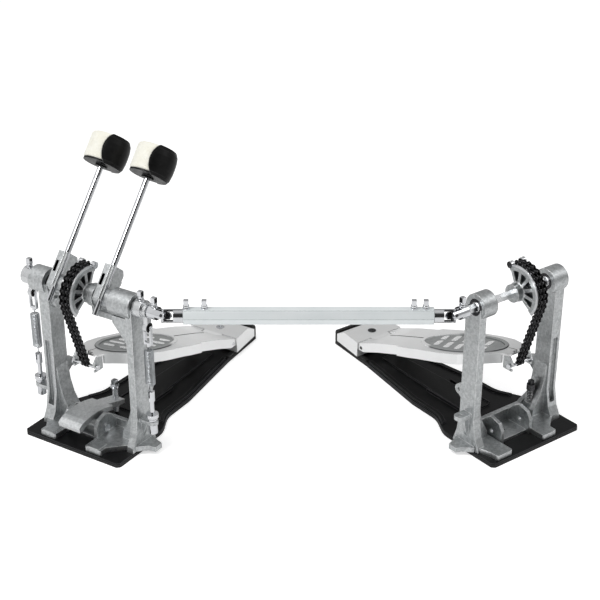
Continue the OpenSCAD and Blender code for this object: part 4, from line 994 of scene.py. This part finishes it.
def chain_piece(node, links, toe_pin=None):
    """One object for the links in the list of (index, place); even links are outer ones."""
    bm = bmesh.new()
    for index, place in links:
        (inner_link if index % 2 else outer_link)(bm, place)
    if toe_pin is not None:
        put(bm, PIN, toe_pin, ROLLS)
        for side in (-1, 1):
            put(bm, SLEEVE, toe_pin @ shift(side * SLEEVE_X_MM), BRIGHT)
            put(bm, PIN_HEAD, toe_pin @ shift(side * PIN_HEAD_X_MM), BRIGHT)
    piece = in_scene(node + "_detailed", mesh_of(bm, node + "_detailed"))
    for finish in ("chain", "roller", "chrome"):
        piece.data.materials.append(FINISH[finish])
    ride_with(piece, node)
    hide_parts(node)
    return len(piece.data.polygons)


print("links on the cam:", LINKS_ON_CAM, " peeling:", LINKS_PEELING, " in the run:", LINKS_IN_RUN)

# %% [markdown]
# Each chain is laid in order: the links that stay wound on the cam, the four that peel off it one
# by one, and the straight run that leaves the cam along its tangent.

# %% Both chains
def chain(side, toe_x):
    wound = [(i, on_cam(side, toe_x, i)) for i in range(LINKS_ON_CAM)]
    faces = chain_piece(side + "_chain_on_cam", wound)
    for k in range(LINKS_PEELING):
        i = LINKS_ON_CAM + k
        faces += chain_piece(f"{side}_chain_link_{k + 1}", [(i, on_cam(side, toe_x, i))])
    leave = radians(LEAVE_ANGLE)
    start = shift(toe_x, SHAFT_Y_MM + CAM_R_MM * cos(leave), SHAFT_Z_MM + CAM_R_MM * sin(leave))
    start = STAND[side] @ start @ Matrix.Rotation(leave + pi / 2, 4, "X")
    run = [(i, start @ shift(0, i * PITCH_MM)) for i in range(LINKS_IN_RUN)]
    faces += chain_piece(side + "_chain_run", run, start @ shift(0, LINKS_IN_RUN * PITCH_MM))
    print(side, "chain:", faces, "faces")


for side, toe_x in CHAIN_X_MM.items():
    chain(side, toe_x)

# %% [markdown]
# The oval holds a grey plate with broad slanted pads that grip the shoe. The board is bent across
# in four places, so a point's height and slope are looked up along it, and a pad is as long as
# the oval leaves room for.

# %% Where the pads lie
BOARD_TOP = ((60, 119.8), (71, 117), (108, 105.5), (146, 93), (190, 79.5), (235, 64))
PAD_TURN, PAD_PITCH_MM, PAD_W_MM = radians(24), 21.0, 9.5
PAD_COLUMN_MM, PAD_HALF_MM, PAD_STEP_MM, SHORTEST_PAD = 14.5, 11, 0.5, 12
OVAL_A_MM, OVAL_B_MM, SIDE_ROOM_MM, END_ROOM_MM = 29.6, 69.4, 3, 5


def board_height(y):
    for (y0, z0), (y1, z1) in zip(BOARD_TOP, BOARD_TOP[1:]):
        if y <= y1:
            return z0 + (z1 - z0) * (y - y0) / (y1 - y0), atan2(z1 - z0, y1 - y0)
    return BOARD_TOP[-1][1], 0.0


def on_oval(along, across, row):
    """A point of a pad, in the board's own x and y."""
    return (along * cos(PAD_TURN) - across * sin(PAD_TURN),
            OVAL_Y_MM + row * PAD_PITCH_MM + along * sin(PAD_TURN) + across * cos(PAD_TURN))


def pad_span(row, column):
    """The stretch of a pad that the oval leaves, measured along the pad."""
    inside = []
    for step in range(round(2 * PAD_HALF_MM / PAD_STEP_MM) + 1):
        along = column * PAD_COLUMN_MM - PAD_HALF_MM + step * PAD_STEP_MM
        corners = [on_oval(along, across, row) for across in (-PAD_W_MM / 2, PAD_W_MM / 2)]
        if all((x / (OVAL_A_MM - SIDE_ROOM_MM)) ** 2
               + ((y - OVAL_Y_MM) / (OVAL_B_MM - END_ROOM_MM)) ** 2 < 1 for x, y in corners):
            inside.append(along)
    return (min(inside), max(inside)) if len(inside) > SHORTEST_PAD else None


PADS = [(row, column) for row in range(-3, 4) for column in (-1, 1) if pad_span(row, column)]
print("pads on each plate:", len(PADS))

# %% [markdown]
# The plate starts as a circle: it is stretched to the oval, cut across wherever the board changes
# its slope, and dropped onto the board. A pad is a cube, stretched and bevelled twice: its
# corners first, then its rims.

# %% Plate and pad
PLATE_SINK_MM, PLATE_THICK_MM, PAD_SINK_MM, PAD_H_MM = 0.35, 0.6, 0.45, 1.6
SHEET, RAISED = 0, 1


def oval_plate():
    bm = bmesh.new()
    bmesh.ops.create_circle(bm, cap_ends=True, segments=72, radius=1)
    bmesh.ops.scale(bm, vec=(OVAL_A_MM, OVAL_B_MM, 1), verts=bm.verts)
    bmesh.ops.translate(bm, vec=(0, OVAL_Y_MM, 0), verts=bm.verts)
    for y, _ in BOARD_TOP[1:5]:
        bmesh.ops.bisect_plane(bm, geom=[*bm.verts, *bm.edges, *bm.faces], plane_co=(0, y, 0),
                               plane_no=(0, 1, 0))
    for point in bm.verts:
        point.co.z = board_height(point.co.y)[0] - PLATE_SINK_MM
    grown = bmesh.ops.extrude_face_region(bm, geom=list(bm.faces))["geom"]
    bmesh.ops.translate(bm, vec=(0, 0, -PLATE_THICK_MM), verts=points_of(grown))
    return kept(bm, "oval_plate")


def grip_pad(length):
    bm = bmesh.new()
    bmesh.ops.create_cube(bm, size=1)
    bmesh.ops.scale(bm, vec=(length, PAD_W_MM, PAD_H_MM), verts=bm.verts)
    upright = [e for e in bm.edges if abs(e.verts[0].co.z - e.verts[1].co.z) > 1]
    bmesh.ops.bevel(bm, geom=upright, offset=3.0, segments=4, profile=0.5, material=-1,
                    affect="EDGES")
    bmesh.ops.bevel(bm, geom=rim_edges(bm), offset=0.4, segments=2, profile=0.5, material=-1,
                    affect="EDGES")
    return kept(bm, "grip_pad")


def grip_plate(side):
    bm = bmesh.new()
    put(bm, oval_plate(), STAND[side], SHEET)
    for row, column in PADS:
        low, high = pad_span(row, column)
        x, y = on_oval((low + high) / 2, 0, row)
        z, slope = board_height(y)
        place = shift(x, y, z - PAD_SINK_MM) @ Matrix.Rotation(slope, 4, "X")
        turned = STAND[side] @ place @ Matrix.Rotation(PAD_TURN, 4, "Z")
        put(bm, grip_pad(high - low), turned, RAISED)
    plate = in_scene(side + "_grip_plate", mesh_of(bm, side + "_grip_plate"))
    for finish in ("blasted", "pad"):
        plate.data.materials.append(FINISH[finish])
    ride_with(plate, side + "_footboard")
    print(side, "grip plate:", len(plate.data.polygons), "faces")


grip_plate("main")
grip_plate("slave")

# %% [markdown]
# The slave pedal has its clamp screw but no jaw on it. The knob is a turned cylinder: every side
# face is inset and pushed in a little, which leaves the ridges of a knurl, and its rims are
# bevelled.

# %% Knob of the slave clamp screw
SCREW_X_MM, SCREW_Y_MM, KNOB_MIDDLE_MM = 43.0, 59.0, 51.2
KNOB_R_MM, KNOB_H_MM = 5.8, 8


def at_end(edge):
    return all(abs(point.co.z) > KNOB_H_MM / 2 - 0.1 for point in edge.verts)


def slave_screw_knob():
    bm = bmesh.new()
    bmesh.ops.create_cone(bm, cap_ends=True, segments=28, radius1=KNOB_R_MM, radius2=KNOB_R_MM,
                          depth=KNOB_H_MM)
    sides = [face for face in bm.faces if abs(face.normal.z) < 0.5]
    bmesh.ops.inset_individual(bm, faces=sides, thickness=0.16, depth=-0.22)
    bmesh.ops.bevel(bm, geom=[edge for edge in rim_edges(bm) if at_end(edge)], offset=0.6,
                    segments=2, profile=0.5, material=-1, affect="EDGES")
    place = STAND["slave"] @ shift(SCREW_X_MM, SCREW_Y_MM, KNOB_MIDDLE_MM)
    bmesh.ops.transform(bm, matrix=place, verts=bm.verts)
    knob = in_scene("slave_screw_knob", kept(bm, "slave_screw_knob"))
    wear(knob, "dark")
    ride_with(knob, "slave_fasteners")
    print("knob", len(knob.data.polygons), "faces")


slave_screw_knob()

# %% [markdown]
# The thread is one coil of wire wound up the screw, which is what a thread is. It uses the same
# helper as the springs.

# %% Thread of the slave clamp screw
RIDGE_PITCH_MM, RIDGE_R_MM, RIDGE_WIRE_MM, RIDGE_STEPS = 2.4, 4.1, 0.55, 18
RIDGE_LOW_MM, RIDGE_HIGH_MM = 20.0, 46.0


def slave_screw_thread():
    climb = RIDGE_HIGH_MM - RIDGE_LOW_MM
    steps = int(climb / RIDGE_PITCH_MM * RIDGE_STEPS)
    path = []
    for step in range(steps + 1):
        angle = 2 * pi * step / RIDGE_STEPS
        at = Vector((SCREW_X_MM + RIDGE_R_MM * cos(angle), SCREW_Y_MM + RIDGE_R_MM * sin(angle),
                     RIDGE_LOW_MM + climb * step / steps))
        path.append(STAND["slave"] @ at)
    ridge = wire_piece("slave_screw_thread", path, RIDGE_WIRE_MM, 1)
    wear(ridge, "steel")
    ride_with(ridge, "slave_fasteners")


slave_screw_thread()
